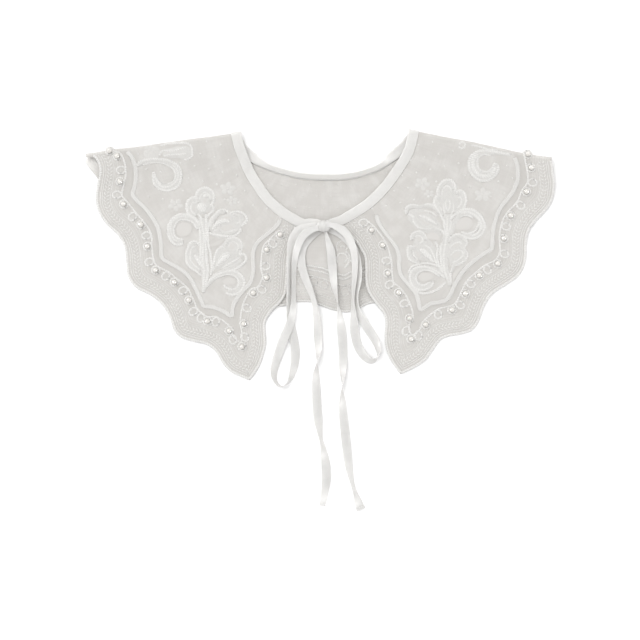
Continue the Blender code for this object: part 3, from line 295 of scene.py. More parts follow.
# Soft creases: x and y of both ends, depth and half width
CREASES = [
    (-214.0, 84.0, -150.0, 96.0, 0.30, 7.0), (-92.0, 100.0, -60.0, 52.0, -0.22, 6.0),
    (-40.0, 34.0, -86.0, -16.0, 0.20, 8.0), (-176.0, 60.0, -120.0, -60.0, -0.24, 9.0),
    (-60.0, -50.0, -96.0, -92.0, 0.26, 7.0), (-150.0, 20.0, -190.0, 4.0, 0.24, 6.0),
    (104.0, 102.0, 76.0, 52.0, -0.22, 6.0), (44.0, 36.0, 88.0, -20.0, 0.20, 8.0),
    (190.0, 84.0, 140.0, 96.0, 0.28, 8.0), (186.0, 50.0, 128.0, -56.0, -0.24, 9.0),
    (66.0, -48.0, 104.0, -84.0, 0.26, 7.0), (160.0, 18.0, 200.0, 0.0, 0.24, 6.0)]

# The motif's tables down to PADS are traced: their points were read off the photo
# Satin ropes of the left front's motif: half width, then x and y
LEFT_ROPES = [
    (1.3, [(-110.7, -36.8), (-109.7, -28.3), (-109.2, -16.9), (-110.7, -7.4), (-110.2, 4.0), (-109.7,
    15.4), (-110.7, 24.9), (-112.6, 34.4), (-115.4, 38.2)]),
    (1.3, [(-108.8, -34.0), (-106.9, -24.5), (-105.9, -15.0), (-107.3, -3.6), (-107.8, 7.8), (-107.8,
    19.2), (-107.3, 28.7), (-107.8, 38.2)]),
    (1.0, [(-103.1, -20.7), (-102.1, -11.2), (-103.1, -1.7), (-105.0, 7.8), (-105.9, 17.3), (-105.0,
    24.9), (-102.1, 32.5), (-97.4, 39.2)]),
    (1.1, [(-113.5, -7.4), (-112.6, 2.1), (-113.0, 13.5), (-113.5, 23.0), (-116.4, 30.6), (-122.1,
    35.4)]),
    (1.3, [(-113.5, 26.8), (-117.3, 33.5), (-124.9, 36.8), (-132.5, 37.3), (-139.2, 33.5), (-143.0, 26.8),
    (-143.4, 19.2), (-140.6, 12.6), (-135.4, 8.8), (-128.7, 10.2)]),
    (1.1, [(-115.4, 23.0), (-120.2, 30.2), (-126.8, 32.5), (-132.5, 32.5), (-136.3, 29.2), (-138.2, 24.0),
    (-137.8, 18.3), (-133.9, 14.5), (-128.7, 13.5)]),
    (1.2, [(-123.0, 34.6), (-132.5, 35.1), (-139.6, 30.6), (-141.1, 23.5), (-139.0, 15.4), (-133.5,
    11.4)]),
    (1.2, [(-116.4, 48.7), (-116.8, 55.3), (-114.5, 60.6), (-108.8, 62.9), (-103.1, 61.0), (-100.2, 55.3),
    (-101.2, 48.7), (-104.0, 44.9)]),
    (0.9, [(-113.5, 51.5), (-113.0, 55.3), (-108.8, 58.7), (-104.5, 55.8), (-104.0, 51.5)]),
    (1.3, [(-114.5, 53.0), (-120.2, 53.4), (-124.4, 50.6), (-125.9, 44.9), (-124.9, 39.2), (-121.1, 34.9),
    (-117.3, 33.5)]),
    (0.9, [(-116.4, 48.7), (-120.6, 48.2), (-122.1, 43.9), (-120.2, 39.2), (-116.4, 37.3)]),
    (1.0, [(-104.0, 46.8), (-100.7, 44.9), (-101.2, 41.1), (-105.0, 37.3), (-107.8, 33.5)]),
    (1.0, [(-106.9, 24.0), (-104.0, 31.6), (-99.3, 37.3), (-94.5, 41.6), (-88.8, 41.6), (-86.0, 38.2)]),
    (1.1, [(-86.0, 38.2), (-80.3, 40.1), (-74.6, 39.7), (-69.8, 36.3), (-69.3, 31.6), (-72.7, 27.8),
    (-75.5, 25.9), (-75.0, 22.1), (-79.3, 18.3), (-85.0, 16.9), (-92.6, 17.3), (-100.2, 18.8), (-105.0,
    20.2)]),
    (0.8, [(-83.1, 35.4), (-78.4, 36.3), (-74.6, 34.4), (-75.5, 30.6), (-80.3, 28.7)]),
    (0.8, [(-102.1, 21.1), (-95.5, 24.0), (-89.8, 20.7), (-82.2, 22.1), (-79.3, 24.9)]),
    (1.0, [(-88.8, 7.8), (-88.8, 12.6), (-85.0, 15.0), (-79.3, 15.4), (-74.6, 11.6), (-73.6, 5.9), (-76.5,
    0.2)]),
    (0.8, [(-86.0, 5.9), (-85.0, 10.7), (-81.2, 12.1), (-77.4, 9.3), (-77.0, 5.0), (-79.3, 2.1)]),
    (1.0, [(-101.2, -16.9), (-100.2, -7.4), (-98.3, 1.2), (-94.5, 5.9), (-89.8, 6.9)]),
    (1.2, [(-76.5, 0.2), (-70.8, -0.7), (-69.8, -5.5), (-73.6, -10.2), (-79.3, -14.0), (-86.0, -15.9),
    (-94.5, -17.8), (-101.2, -20.7)]),
    (0.8, [(-98.3, -13.1), (-95.5, -5.5), (-90.7, 0.2), (-85.0, 2.1)]),
    (0.9, [(-92.6, -14.0), (-86.0, -9.3), (-79.3, -5.5), (-75.5, -2.6)]),
    (1.1, [(-111.6, -20.7), (-117.3, -15.9), (-123.0, -12.1), (-126.3, -6.4), (-126.3, 0.2), (-124.9,
    5.9), (-122.5, 10.7), (-117.3, 11.6), (-113.5, 7.8)]),
    (0.9, [(-113.5, -15.0), (-119.2, -10.2), (-122.5, -5.5), (-123.0, 0.2), (-121.1, 5.9), (-117.3,
    7.8)]),
    (1.3, [(-107.8, -32.1), (-104.0, -25.4), (-97.4, -20.2), (-89.8, -16.9), (-82.2, -15.9), (-75.5,
    -18.8), (-71.7, -24.5), (-72.2, -31.1), (-76.5, -36.3), (-83.1, -38.7), (-88.8, -36.8)]),
    (1.1, [(-105.9, -28.3), (-100.2, -23.5), (-92.6, -20.2), (-85.0, -19.2), (-79.3, -21.6), (-76.5,
    -26.4), (-77.9, -31.1), (-82.2, -33.5), (-87.9, -32.1), (-90.7, -28.3)]),
    (1.1, [(-81.2, -18.3), (-75.5, -21.6), (-74.1, -28.3), (-77.4, -34.0), (-84.1, -35.9)]),
    (1.2, [(-173.4, 82.9), (-169.6, 86.7), (-162.9, 89.1), (-153.4, 89.5), (-143.9, 88.6), (-137.3, 85.7),
    (-132.5, 81.0), (-131.1, 73.4), (-133.0, 66.7), (-138.2, 62.0), (-144.9, 60.1), (-151.5, 62.0),
    (-156.3, 66.3), (-158.2, 71.5)]),
    (1.0, [(-167.7, 83.8), (-161.0, 86.2), (-151.5, 86.7), (-143.9, 84.3), (-138.2, 80.0), (-136.3, 73.4),
    (-139.2, 68.2), (-143.9, 66.3)]),
    (1.3, [(-157.2, 76.2), (-155.8, 70.5), (-151.5, 65.3), (-145.8, 63.4), (-140.1, 65.3), (-135.4, 69.6),
    (-133.9, 75.3), (-135.4, 81.0), (-140.1, 84.8)]),
    (0.9, [(-150.6, 101.9), (-143.9, 104.3), (-134.4, 104.7), (-124.9, 104.3), (-121.1, 100.9), (-120.2,
    94.3), (-123.0, 90.5), (-128.7, 88.6)]),
    (0.9, [(-151.5, 92.4), (-148.7, 97.1), (-140.1, 97.6), (-132.5, 99.0), (-126.8, 100.9)]),
    (0.8, [(-147.7, 92.4), (-140.1, 93.8), (-132.5, 94.3), (-125.9, 95.2)]),
]

# Satin ropes of the right front's motif
RIGHT_ROPES = [
    (1.2, [(112.6, 51.5), (112.1, 60.1), (114.0, 65.8), (118.3, 69.6), (124.0, 70.1), (128.2, 65.8),
    (128.7, 59.1)]),
    (0.8, [(116.4, 55.3), (116.8, 61.0), (120.2, 64.8), (124.0, 62.9), (124.9, 58.2)]),
    (1.2, [(128.7, 59.1), (134.4, 60.1), (138.2, 56.3), (138.7, 49.6), (136.3, 43.0), (131.6, 39.2),
    (125.9, 35.4), (123.0, 30.6)]),
    (0.9, [(130.6, 54.4), (134.4, 52.5), (133.9, 46.8), (129.7, 43.0)]),
    (1.2, [(114.5, 55.3), (110.2, 53.9), (108.8, 48.7), (111.1, 43.0), (114.5, 38.2), (117.3, 32.5),
    (120.2, 25.9)]),
    (0.8, [(112.6, 50.6), (113.0, 45.8), (116.4, 40.1)]),
    (0.8, [(121.6, 52.5), (119.7, 49.6), (119.7, 44.9), (121.6, 41.6), (123.5, 44.9), (123.5, 49.6),
    (121.6, 52.5)]),
    (0.8, [(117.3, 48.7), (118.3, 40.1), (120.2, 32.5)]),
    (0.8, [(126.8, 49.6), (126.8, 42.0), (124.0, 35.4)]),
    (1.3, [(121.1, 38.2), (121.1, 28.7), (120.6, 17.3), (118.8, 7.8), (117.8, -3.6), (118.8, -15.0),
    (122.1, -25.4)]),
    (1.1, [(124.9, 31.6), (123.0, 23.0), (121.6, 15.4)]),
    (1.1, [(117.3, 30.6), (119.2, 22.1), (120.2, 13.5)]),
    (1.0, [(119.2, 12.6), (115.4, 8.8), (114.5, 2.1), (115.4, -7.4), (117.3, -16.9)]),
    (1.0, [(109.7, 12.6), (112.1, 5.9), (111.6, -1.7), (113.5, -11.2), (117.3, -18.8)]),
    (1.0, [(82.6, 37.3), (81.7, 43.0), (86.0, 46.3), (91.7, 46.3), (95.5, 43.9)]),
    (1.0, [(95.5, 43.9), (102.1, 47.3), (108.8, 45.8), (113.5, 41.1), (116.4, 34.4)]),
    (1.1, [(84.1, 38.2), (88.8, 35.4), (89.8, 30.6), (93.6, 25.9), (100.2, 24.0), (107.8, 24.9), (114.5,
    23.0), (119.2, 18.3)]),
    (0.8, [(99.3, 41.1), (105.9, 39.7), (111.6, 35.4)]),
    (1.3, [(127.8, 37.3), (133.5, 41.6), (141.1, 42.5), (147.7, 40.6), (153.4, 35.4), (156.3, 27.8),
    (154.4, 20.2), (148.7, 15.4), (142.0, 15.0), (135.4, 18.3)]),
    (1.0, [(124.0, 19.2), (127.8, 29.7), (133.5, 35.4), (140.1, 36.8), (145.8, 34.0)]),
    (1.0, [(134.4, 21.1), (140.1, 19.2), (146.8, 21.6), (150.6, 26.8), (151.5, 32.5)]),
    (1.4, [(133.5, 38.7), (141.1, 39.7), (147.7, 36.8), (152.9, 30.6), (152.9, 24.0), (148.7, 18.8),
    (142.0, 17.3)]),
    (1.0, [(86.9, 12.6), (87.4, 18.3), (91.7, 21.1), (96.4, 21.1), (100.2, 17.3), (101.2, 12.6)]),
    (0.8, [(90.7, 15.4), (93.6, 17.8), (97.4, 15.4), (97.4, 11.6), (93.6, 9.7)]),
    (1.0, [(90.7, 6.4), (84.5, 7.4), (83.6, 1.2), (85.0, -4.5), (89.8, -7.4), (95.5, -8.3)]),
    (0.8, [(88.8, 4.0), (89.3, -0.7), (93.6, -5.5)]),
    (0.9, [(99.3, 8.8), (105.0, 5.0), (108.8, -2.6), (111.6, -11.2)]),
    (1.3, [(120.2, -23.5), (113.5, -17.8), (105.0, -13.5), (95.5, -12.1), (87.9, -15.9), (85.5, -22.6),
    (87.9, -29.2), (92.6, -33.0), (99.3, -34.0), (105.9, -30.2), (107.8, -25.4)]),
    (1.1, [(114.5, -21.6), (106.9, -16.4), (99.3, -15.0), (93.6, -17.8), (91.2, -22.6), (93.6, -27.3),
    (99.3, -29.7), (105.0, -26.4)]),
    (1.1, [(88.8, -33.0), (95.5, -36.8), (104.0, -36.8), (112.6, -33.0), (120.2, -26.4)]),
    (1.0, [(119.2, -16.9), (111.6, -11.2), (103.1, -8.8), (94.5, -9.3), (87.9, -12.1), (84.1, -17.8)]),
    (1.0, [(121.1, 10.7), (125.9, 16.9), (131.6, 18.8), (137.3, 16.4), (139.7, 10.7), (137.3, 5.9),
    (140.1, 0.2), (138.2, -5.5), (132.5, -9.3), (126.8, -12.1), (124.4, -18.8), (124.9, -27.3)]),
    (0.8, [(123.0, 5.0), (126.8, 9.3), (132.5, 11.6), (135.4, 8.8)]),
    (0.8, [(124.0, -1.7), (128.7, 3.1), (134.4, 3.1), (136.3, -0.7), (131.6, -5.5), (125.9, -8.3)]),
    (1.3, [(181.9, 93.3), (174.3, 94.8), (164.8, 96.7), (155.3, 97.6), (147.7, 95.7), (142.5, 90.5),
    (141.5, 82.9), (144.9, 75.3), (150.6, 70.5), (157.2, 69.6), (163.9, 72.4), (168.6, 78.1), (168.6,
    84.8)]),
    (1.0, [(162.0, 93.3), (154.4, 93.8), (150.1, 90.5), (149.6, 83.8), (152.5, 79.1), (158.2, 77.7),
    (162.9, 80.5), (166.2, 86.7)]),
    (1.8, [(150.6, 94.8), (145.8, 89.5), (145.6, 81.9), (149.6, 75.8), (156.3, 73.4), (162.9, 75.8),
    (167.2, 81.9)]),
    (0.8, [(131.6, 102.8), (133.9, 105.7), (137.3, 104.3), (136.8, 100.5), (133.0, 100.0), (131.6,
    102.8)]),
    (0.8, [(143.0, 102.8), (150.6, 101.4), (160.1, 99.0), (168.6, 98.1)]),
]

# Satin bodies under the ropes: x, y, half width
LEFT_BODIES = [
    [(-109.7, -36.8, 1.2), (-109.2, -28.3, 2.0), (-108.8, -16.9, 3.0), (-109.2, -3.6, 3.4), (-109.7, 9.7,
    3.2), (-110.2, 23.0, 3.4), (-111.1, 34.4, 3.6)],
    [(-112.6, 24.0, 1.6), (-118.3, 31.1, 2.4), (-125.9, 34.4, 2.4), (-133.0, 34.4, 2.6), (-138.6, 30.2,
    2.9), (-140.7, 23.0, 3.0), (-139.2, 15.9, 2.6), (-133.5, 12.1, 2.0), (-128.7, 11.6, 1.0)],
    [(-107.8, -32.1, 1.2), (-101.2, -23.5, 2.4), (-91.7, -18.6, 2.6), (-83.1, -17.8, 2.6), (-76.0, -22.1,
    2.8), (-74.4, -28.7, 2.9), (-78.8, -34.9, 2.6), (-86.9, -35.4, 1.6)],
    [(-172.4, 82.9, 1.0), (-164.8, 87.1, 1.7), (-154.4, 88.0, 1.9), (-143.9, 86.2, 2.2), (-135.8, 81.9,
    2.8), (-133.7, 74.3, 3.4), (-137.3, 66.7, 3.4), (-144.9, 63.3, 3.2), (-152.0, 65.8, 2.8), (-156.1,
    71.5, 2.2), (-156.8, 78.1, 1.0)],
    [(-103.1, 21.1, 1.0), (-97.4, 24.9, 1.2), (-88.8, 19.7, 1.6), (-79.3, 21.6, 1.6), (-74.6, 27.8, 1.6),
    (-75.5, 35.4, 1.8), (-82.2, 37.8, 1.6)],
    [(-88.8, 8.8, 1.4), (-86.0, 12.6, 1.8), (-80.3, 13.5, 1.8), (-76.0, 9.7, 1.8), (-75.7, 4.0, 1.6)],
    [(-98.3, -18.8, 1.0), (-88.8, -15.0, 2.0), (-79.3, -10.7, 2.2), (-73.1, -5.0, 1.8)],
    [(-113.5, -16.9, 1.2), (-120.2, -11.6, 1.9), (-124.4, -5.5, 1.9), (-124.5, 1.7, 1.8), (-121.6, 8.3,
    1.6), (-116.4, 9.9, 1.0)],
    [(-103.1, 22.1, 1.0), (-100.7, 31.6, 1.6), (-95.5, 38.7, 1.8), (-88.8, 39.7, 1.4)],
    [(-114.9, 48.7, 1.4), (-114.9, 56.3, 1.8), (-109.2, 60.7, 1.8), (-103.1, 58.2, 1.8), (-102.1, 50.6,
    1.4)],
    [(-116.4, 51.0, 1.2), (-122.1, 50.1, 1.8), (-124.2, 44.4, 1.8), (-122.5, 38.7, 1.8), (-117.3, 35.4,
    1.4)],
]

RIGHT_BODIES = [
    [(124.0, -30.2, 1.4), (120.2, -16.9, 2.6), (118.3, -5.5, 3.0), (118.3, 5.9, 3.0), (120.6, 17.3, 3.2),
    (121.1, 27.8, 3.4), (121.1, 38.2, 3.2)],
    [(124.9, 17.3, 1.4), (127.3, 27.8, 2.2), (133.0, 36.3, 2.4), (140.1, 39.6, 2.8), (147.7, 37.8, 3.2),
    (153.9, 31.6, 3.0), (154.4, 23.0, 2.8), (148.2, 17.3, 2.4), (140.1, 16.9, 1.8), (135.4, 19.2, 1.0)],
    [(120.2, -22.6, 1.2), (112.6, -16.4, 2.4), (103.1, -13.6, 2.6), (94.0, -14.5, 2.8), (88.4, -19.7,
    3.0), (89.4, -27.3, 3.0), (95.5, -31.7, 2.8), (103.1, -30.2, 2.2), (106.9, -25.9, 1.2)],
    [(181.0, 93.9, 1.0), (172.4, 94.7, 1.4), (162.9, 95.4, 2.0), (153.9, 95.6, 2.6), (146.8, 91.4, 3.6),
    (144.5, 83.8, 4.2), (147.7, 76.6, 4.4), (155.3, 72.4, 4.2), (162.4, 74.7, 3.4), (167.1, 80.5, 2.4),
    (167.3, 86.2, 1.0)],
    [(87.9, 13.5, 1.2), (88.8, 17.7, 1.8), (93.6, 19.8, 1.8), (98.9, 17.7, 1.8), (100.6, 13.0, 1.2)],
    [(90.7, 5.6, 1.0), (86.0, 5.0, 1.6), (86.0, -0.7, 1.8), (89.4, -5.8, 1.8), (95.5, -8.3, 1.4)],
    [(83.5, 38.6, 1.0), (83.5, 43.0, 1.6), (87.9, 45.1, 1.8), (93.6, 44.7, 1.6), (102.1, 45.8, 1.8),
    (108.8, 43.9, 1.8), (114.5, 38.2, 1.4)],
    [(88.8, 34.4, 1.2), (91.7, 29.1, 1.9), (98.3, 24.9, 2.2), (106.9, 25.5, 2.2), (115.4, 21.5, 1.6)],
    [(122.5, 10.7, 1.2), (127.2, 15.4, 1.8), (132.5, 17.0, 1.8), (137.3, 13.5, 1.8), (136.7, 5.9, 1.6),
    (138.6, 0.2, 1.8), (135.4, -5.5, 1.8), (127.8, -10.2, 1.6), (124.9, -17.8, 1.2)],
    [(113.5, 51.5, 1.2), (113.5, 60.5, 1.9), (117.9, 67.1, 1.9), (124.0, 67.7, 1.9), (127.2, 61.0, 1.4)],
    [(128.7, 57.2, 1.2), (134.4, 57.8, 1.9), (136.7, 51.5, 2.0), (134.4, 43.9, 2.0), (128.3, 38.6, 1.6)],
    [(114.1, 53.8, 1.2), (111.1, 50.0, 1.8), (113.0, 43.4, 1.8), (116.9, 36.3, 1.4)],
]

# Curl of the back's motif that shows between the loops
BACK_ROPES = [
    (0.9, [(16.6, 2.1), (16.1, 8.3), (19.9, 12.6), (25.2, 12.1), (27.5, 7.8), (25.2, 4.0)]),
    (1.0, [(29.0, 11.6), (31.8, 5.9), (32.3, -0.7), (29.4, -7.4)]),
    (0.9, [(17.6, -8.3), (16.1, -3.6), (19.5, 0.7), (24.7, -0.2), (26.6, -4.5), (23.3, -8.3)]),
    (0.9, [(25.2, 3.1), (28.5, -1.7), (27.5, -8.3), (24.2, -13.1)]),
    (0.8, [(19.5, 5.9), (22.3, 8.3), (24.2, 5.9)]),
]

# Padded petals: x, y, half width
LEFT_PETALS = [
    [(-102.1, 23.0, 0.7), (-97.4, 28.3, 2.2), (-91.7, 31.4, 2.5), (-85.0, 31.1, 1.2)],
    [(-97.4, -12.1, 0.7), (-93.6, -7.4, 2.1), (-88.8, -2.6, 2.5), (-84.1, -0.7, 1.0)],
    [(-118.3, -0.7, 1.0), (-115.9, -4.5, 2.2), (-112.6, -9.3, 2.2), (-109.7, -14.0, 0.8)],
    [(-157.2, 78.1, 1.2), (-156.8, 73.4, 2.2), (-153.9, 68.6, 2.0), (-149.6, 64.8, 0.9)],
]

RIGHT_PETALS = [
    [(94.5, 36.3, 0.8), (99.3, 34.9, 1.8), (105.0, 32.1, 1.8), (111.6, 27.8, 0.8)],
    [(95.5, 5.0, 1.6), (100.2, 1.2, 2.9), (105.0, -3.6, 2.4), (108.8, -8.3, 0.8)],
]

# Open net inside the leaves and scrolls: x and y
LEFT_NET = [
    [(-95.5, 23.0), (-90.7, 26.4), (-85.0, 27.8), (-81.2, 25.9), (-85.0, 23.5), (-90.7, 21.6)],
    [(-95.5, 33.0), (-89.8, 35.4), (-84.1, 34.9), (-88.8, 33.5)],
    [(-105.9, 8.3), (-100.2, 10.7), (-92.6, 14.0), (-88.8, 14.5), (-94.5, 9.7), (-102.1, 6.9)],
    [(-86.0, 6.9), (-84.1, 9.3), (-81.2, 8.8), (-80.8, 5.5), (-84.1, 4.5)],
    [(-92.6, -25.4), (-86.9, -22.1), (-81.2, -23.5), (-79.3, -27.3), (-85.0, -29.2), (-89.8, -28.7)],
    [(-120.6, -7.4), (-119.2, -4.5), (-115.4, -11.2), (-118.3, -13.1)],
    [(-136.3, 24.0), (-132.5, 29.2), (-125.9, 29.7), (-121.1, 25.9), (-123.0, 19.2), (-129.7, 16.4),
    (-134.4, 18.3)],
    [(-108.8, 53.4), (-106.9, 51.5), (-108.3, 48.7), (-110.2, 50.6)],
    [(-120.6, 44.9), (-118.3, 46.3), (-117.8, 42.0), (-119.7, 41.1)],
]

RIGHT_NET = [
    [(90.7, 37.8), (96.4, 39.7), (105.9, 41.1), (100.2, 38.7)],
    [(95.5, 33.0), (101.2, 30.6), (105.0, 27.8), (99.3, 28.7)],
    [(99.3, 16.9), (105.9, 20.7), (112.6, 18.3), (114.5, 13.5), (107.8, 13.5), (102.1, 14.5)],
    [(128.7, 23.5), (129.7, 30.6), (134.4, 34.0), (141.1, 34.9), (144.9, 31.6), (144.9, 25.9), (140.1,
    23.0), (133.5, 23.0)],
    [(92.6, 14.5), (94.5, 16.4), (96.4, 14.0), (95.0, 11.6)],
    [(91.2, 4.0), (92.6, -1.7), (95.5, -3.6), (93.6, 2.1)],
    [(93.6, -20.7), (98.3, -17.3), (105.9, -18.8), (107.8, -22.6), (102.1, -25.4), (96.4, -25.4)],
    [(124.0, 6.9), (128.7, 10.2), (133.5, 9.7), (128.7, 6.4)],
    [(124.0, -2.6), (129.7, 1.7), (134.4, 0.7), (129.7, -3.6)],
    [(126.3, -25.4), (126.8, -17.8), (132.5, -13.1), (137.3, -10.2), (131.6, -17.8), (127.8, -24.5)],
]

# Flat-stitch fields by the left shoulder: x and y
PALE_FIELDS = [
    [(-164.8, 100.0), (-159.1, 101.4), (-152.5, 100.9), (-150.6, 96.2), (-152.9, 90.0), (-159.1, 89.1),
    (-163.9, 89.1), (-166.2, 94.3)],
    [(-148.7, 98.1), (-142.0, 100.0), (-133.5, 101.4), (-125.9, 101.9), (-120.6, 98.1), (-120.6, 92.4),
    (-125.9, 89.1), (-134.4, 90.5), (-142.0, 91.0), (-147.7, 91.4)],
]

# Padded dots of the motif: x, y, half width, half height
PADS = [
    (-111.6, 44.4, 4.6, 4.6),
    (-107.8, 55.3, 2.6, 2.0),
]


def catmull(points, per_span=24):
    """A smooth line through the points, sampled densely."""
    p = np.asarray(points, float)
    ext = np.vstack([2 * p[0] - p[1], p, 2 * p[-1] - p[-2]])
    out = []
    for i in range(len(p) - 1):
        p0, p1, p2, p3 = ext[i], ext[i + 1], ext[i + 2], ext[i + 3]
        for t in np.linspace(0, 1, per_span, endpoint=False):
            out.append(0.5 * (2 * p1 + (p2 - p0) * t + (2 * p0 - 5 * p1 + 4 * p2 - p3) * t * t
                              + (3 * p1 - p0 - 3 * p2 + p3) * t ** 3))
    out.append(p[-1])
    return np.array(out)


def run_length(line):
    """Distance along the line at each of its points."""
    steps = np.linalg.norm(np.diff(line, axis=0), axis=1)
    return np.concatenate([[0], np.cumsum(steps)])


def even(line, count, dims=2):
    """The line resampled to count points evenly spaced along it."""
    along = run_length(line[:, :dims])
    want = np.linspace(0, along[-1], count)
    return np.stack([np.interp(want, along, line[:, k]) for k in range(line.shape[1])], axis=1)


def smooth(t):
    t = np.clip(t, 0, 1)
    return t * t * (3 - 2 * t)


def inward(fold, side):
    """Unit vector across the fold, pointing into the panel."""
    run = fold[-1] - fold[0]
    run = run / np.linalg.norm(run)
    across = np.array([-run[1], run[0]]) * side
    return across


def moved_start(line, target, reach=3):
    """The line with its first points eased over to a new start."""
    out = line.copy()
    shift = target - line[0]
    for i in range(min(reach, len(line))):
        out[i] = line[i] + shift * (1 - i / reach)
    return out


def coons(near, far, start, end):
    """A grid between four border lines: near and far run along, start and end run across."""
    count, rows = len(near), len(start)
    u = np.linspace(0, 1, count)[:, None, None]
    v = np.linspace(0, 1, rows)[None, :, None]
    grid = (1 - v) * near[:, None] + v * far[:, None] + (1 - u) * start[None] + u * end[None]
    corner = ((1 - u) * (1 - v) * near[0] + u * (1 - v) * near[-1]
              + (1 - u) * v * far[0] + u * v * far[-1])
    return grid - corner


def outside_distance(points, outline):
    """Distance of each point outside the closed outline, zero within it."""
    a = outline
    b = np.roll(outline, -1, axis=0)
    best = np.full(len(points), 1e9)
    inside = np.zeros(len(points), bool)
    for p, q in zip(a, b):
        d = q - p
        t = np.clip(((points - p) @ d) / max(d @ d, 1e-9), 0, 1)
        best = np.minimum(best, np.linalg.norm(points - p - t[:, None] * d, axis=1))
        cross = (p[1] > points[:, 1]) != (q[1] > points[:, 1])
        at = p[0] + (points[:, 1] - p[1]) * d[0] / (d[1] if abs(d[1]) > 1e-9 else 1e-9)
        inside ^= cross & (points[:, 0] < at)
    return np.where(inside, 0.0, best)


def unit(v):
    return v / np.linalg.norm(v)


def neck_side(line):
    """Directions in the plane, square to the line, on its left."""
    run = np.gradient(line, axis=0)
    run = run / np.linalg.norm(run, axis=1)[:, None]
    return np.stack([-run[:, 1], run[:, 0]], axis=1)


def distance_to(points, line):
    """Distance of each point to an open line."""
    best = np.full(len(points), 1e9)
    for p, q in zip(line[:-1], line[1:]):
        d = q - p
        t = np.clip(((points - p) @ d) / max(d @ d, 1e-9), 0, 1)
        best = np.minimum(best, np.linalg.norm(points - p - t[:, None] * d, axis=1))
    return best


knot_low, knot_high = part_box("tie_knot")
SHIFT = np.array([500 * (knot_low[0] + knot_high[0]) - KNOT_CENTRE[0],
                  500 * (knot_low[1] + knot_high[1]) - KNOT_CENTRE[1], 0.0])


def to_row(points):
    """Working millimetres to the frame's metres."""
    return (np.asarray(points, float) + SHIFT) * 0.001


# Materials
def new_material(name, colour, rough, sheen=0.0, sheen_rough=0.5, gloss=0.2):
    made = bpy.data.materials.new(name)
    made.use_nodes = True
    shader = made.node_tree.nodes["Principled BSDF"]
    shader.inputs["Base Color"].default_value = (*colour, 1)
    shader.inputs["Roughness"].default_value = rough
    shader.inputs["Sheen Weight"].default_value = sheen
    shader.inputs["Sheen Roughness"].default_value = sheen_rough
    shader.inputs["Specular IOR Level"].default_value = gloss
    return made


def node(tree, kind, **settings):
    made = tree.nodes.new(kind)
    for key, value in settings.items():
        setattr(made, key, value)
    return made


def maths(tree, operation, first, second=None, clamp=False):
    """A maths node; each input is a socket or a number."""
    made = node(tree, "ShaderNodeMath", operation=operation, use_clamp=clamp)
    for index, value in enumerate((first, second)):
        if value is None:
            continue
        if isinstance(value, (int, float)):
            made.inputs[index].default_value = value
        else:
            tree.links.new(value, made.inputs[index])
    return made.outputs[0]


def blend_colours(tree, share, first, second):
    made = node(tree, "ShaderNodeMix", data_type="RGBA")
    for key, value in (("Factor", share), ("A", first), ("B", second)):
        socket = [s for s in made.inputs if s.name == key and s.enabled][0]
        if isinstance(value, tuple):
            socket.default_value = (*value, 1)
        else:
            tree.links.new(value, socket)
    return [s for s in made.outputs if s.enabled][0]


def smooth_step(tree, value, low, high):
    made = node(tree, "ShaderNodeMapRange", interpolation_type="SMOOTHSTEP")
    tree.links.new(value, made.inputs["Value"])
    made.inputs["From Min"].default_value = low
    made.inputs["From Max"].default_value = high
    return made.outputs["Result"]


GROUND_TONE = (0.562, 0.545, 0.521)
MILKY_TONE = (0.625, 0.611, 0.588)
SHEER_TONE = (0.500, 0.483, 0.460)
THREAD_TONE = (0.755, 0.745, 0.723)
CORD_TONE = (0.690, 0.679, 0.658)
NET_TONE = (0.585, 0.568, 0.545)
PALE_TONE = (0.645, 0.633, 0.611)
FILL_TONE = (0.655, 0.644, 0.622)
RIBBON_TONE = (0.678, 0.670, 0.653)
# Tones of painted light and shade: paler at the fold's open end, paler on leaning bands and lower strands,
# darker on ribbons standing on edge past the cloth, paler in a ribbon's hollow
FOLD_PAINTED_LIGHT_TONE = (0.760, 0.745, 0.720)
PAINTED_LIGHT_TONE = (0.800, 0.790, 0.770)
EDGE_ON_PAINTED_SHADE_TONE = (0.575, 0.565, 0.550)
HOLLOW_PAINTED_LIGHT_TONE = (0.960, 0.950, 0.930)
PEARL_TONE = (0.700, 0.678, 0.640)


def noise_at(tree, uv, stretch, scale, detail=2.0):
    """Noise drawn out along one way of the cloth."""
    mapped = node(tree, "ShaderNodeMapping")
    mapped.inputs["Scale"].default_value = stretch
    tree.links.new(uv, mapped.inputs["Vector"])
    made = node(tree, "ShaderNodeTexNoise")
    made.inputs["Scale"].default_value = scale
    made.inputs["Detail"].default_value = detail
    tree.links.new(mapped.outputs[0], made.inputs["Vector"])
    return made.outputs["Fac"]


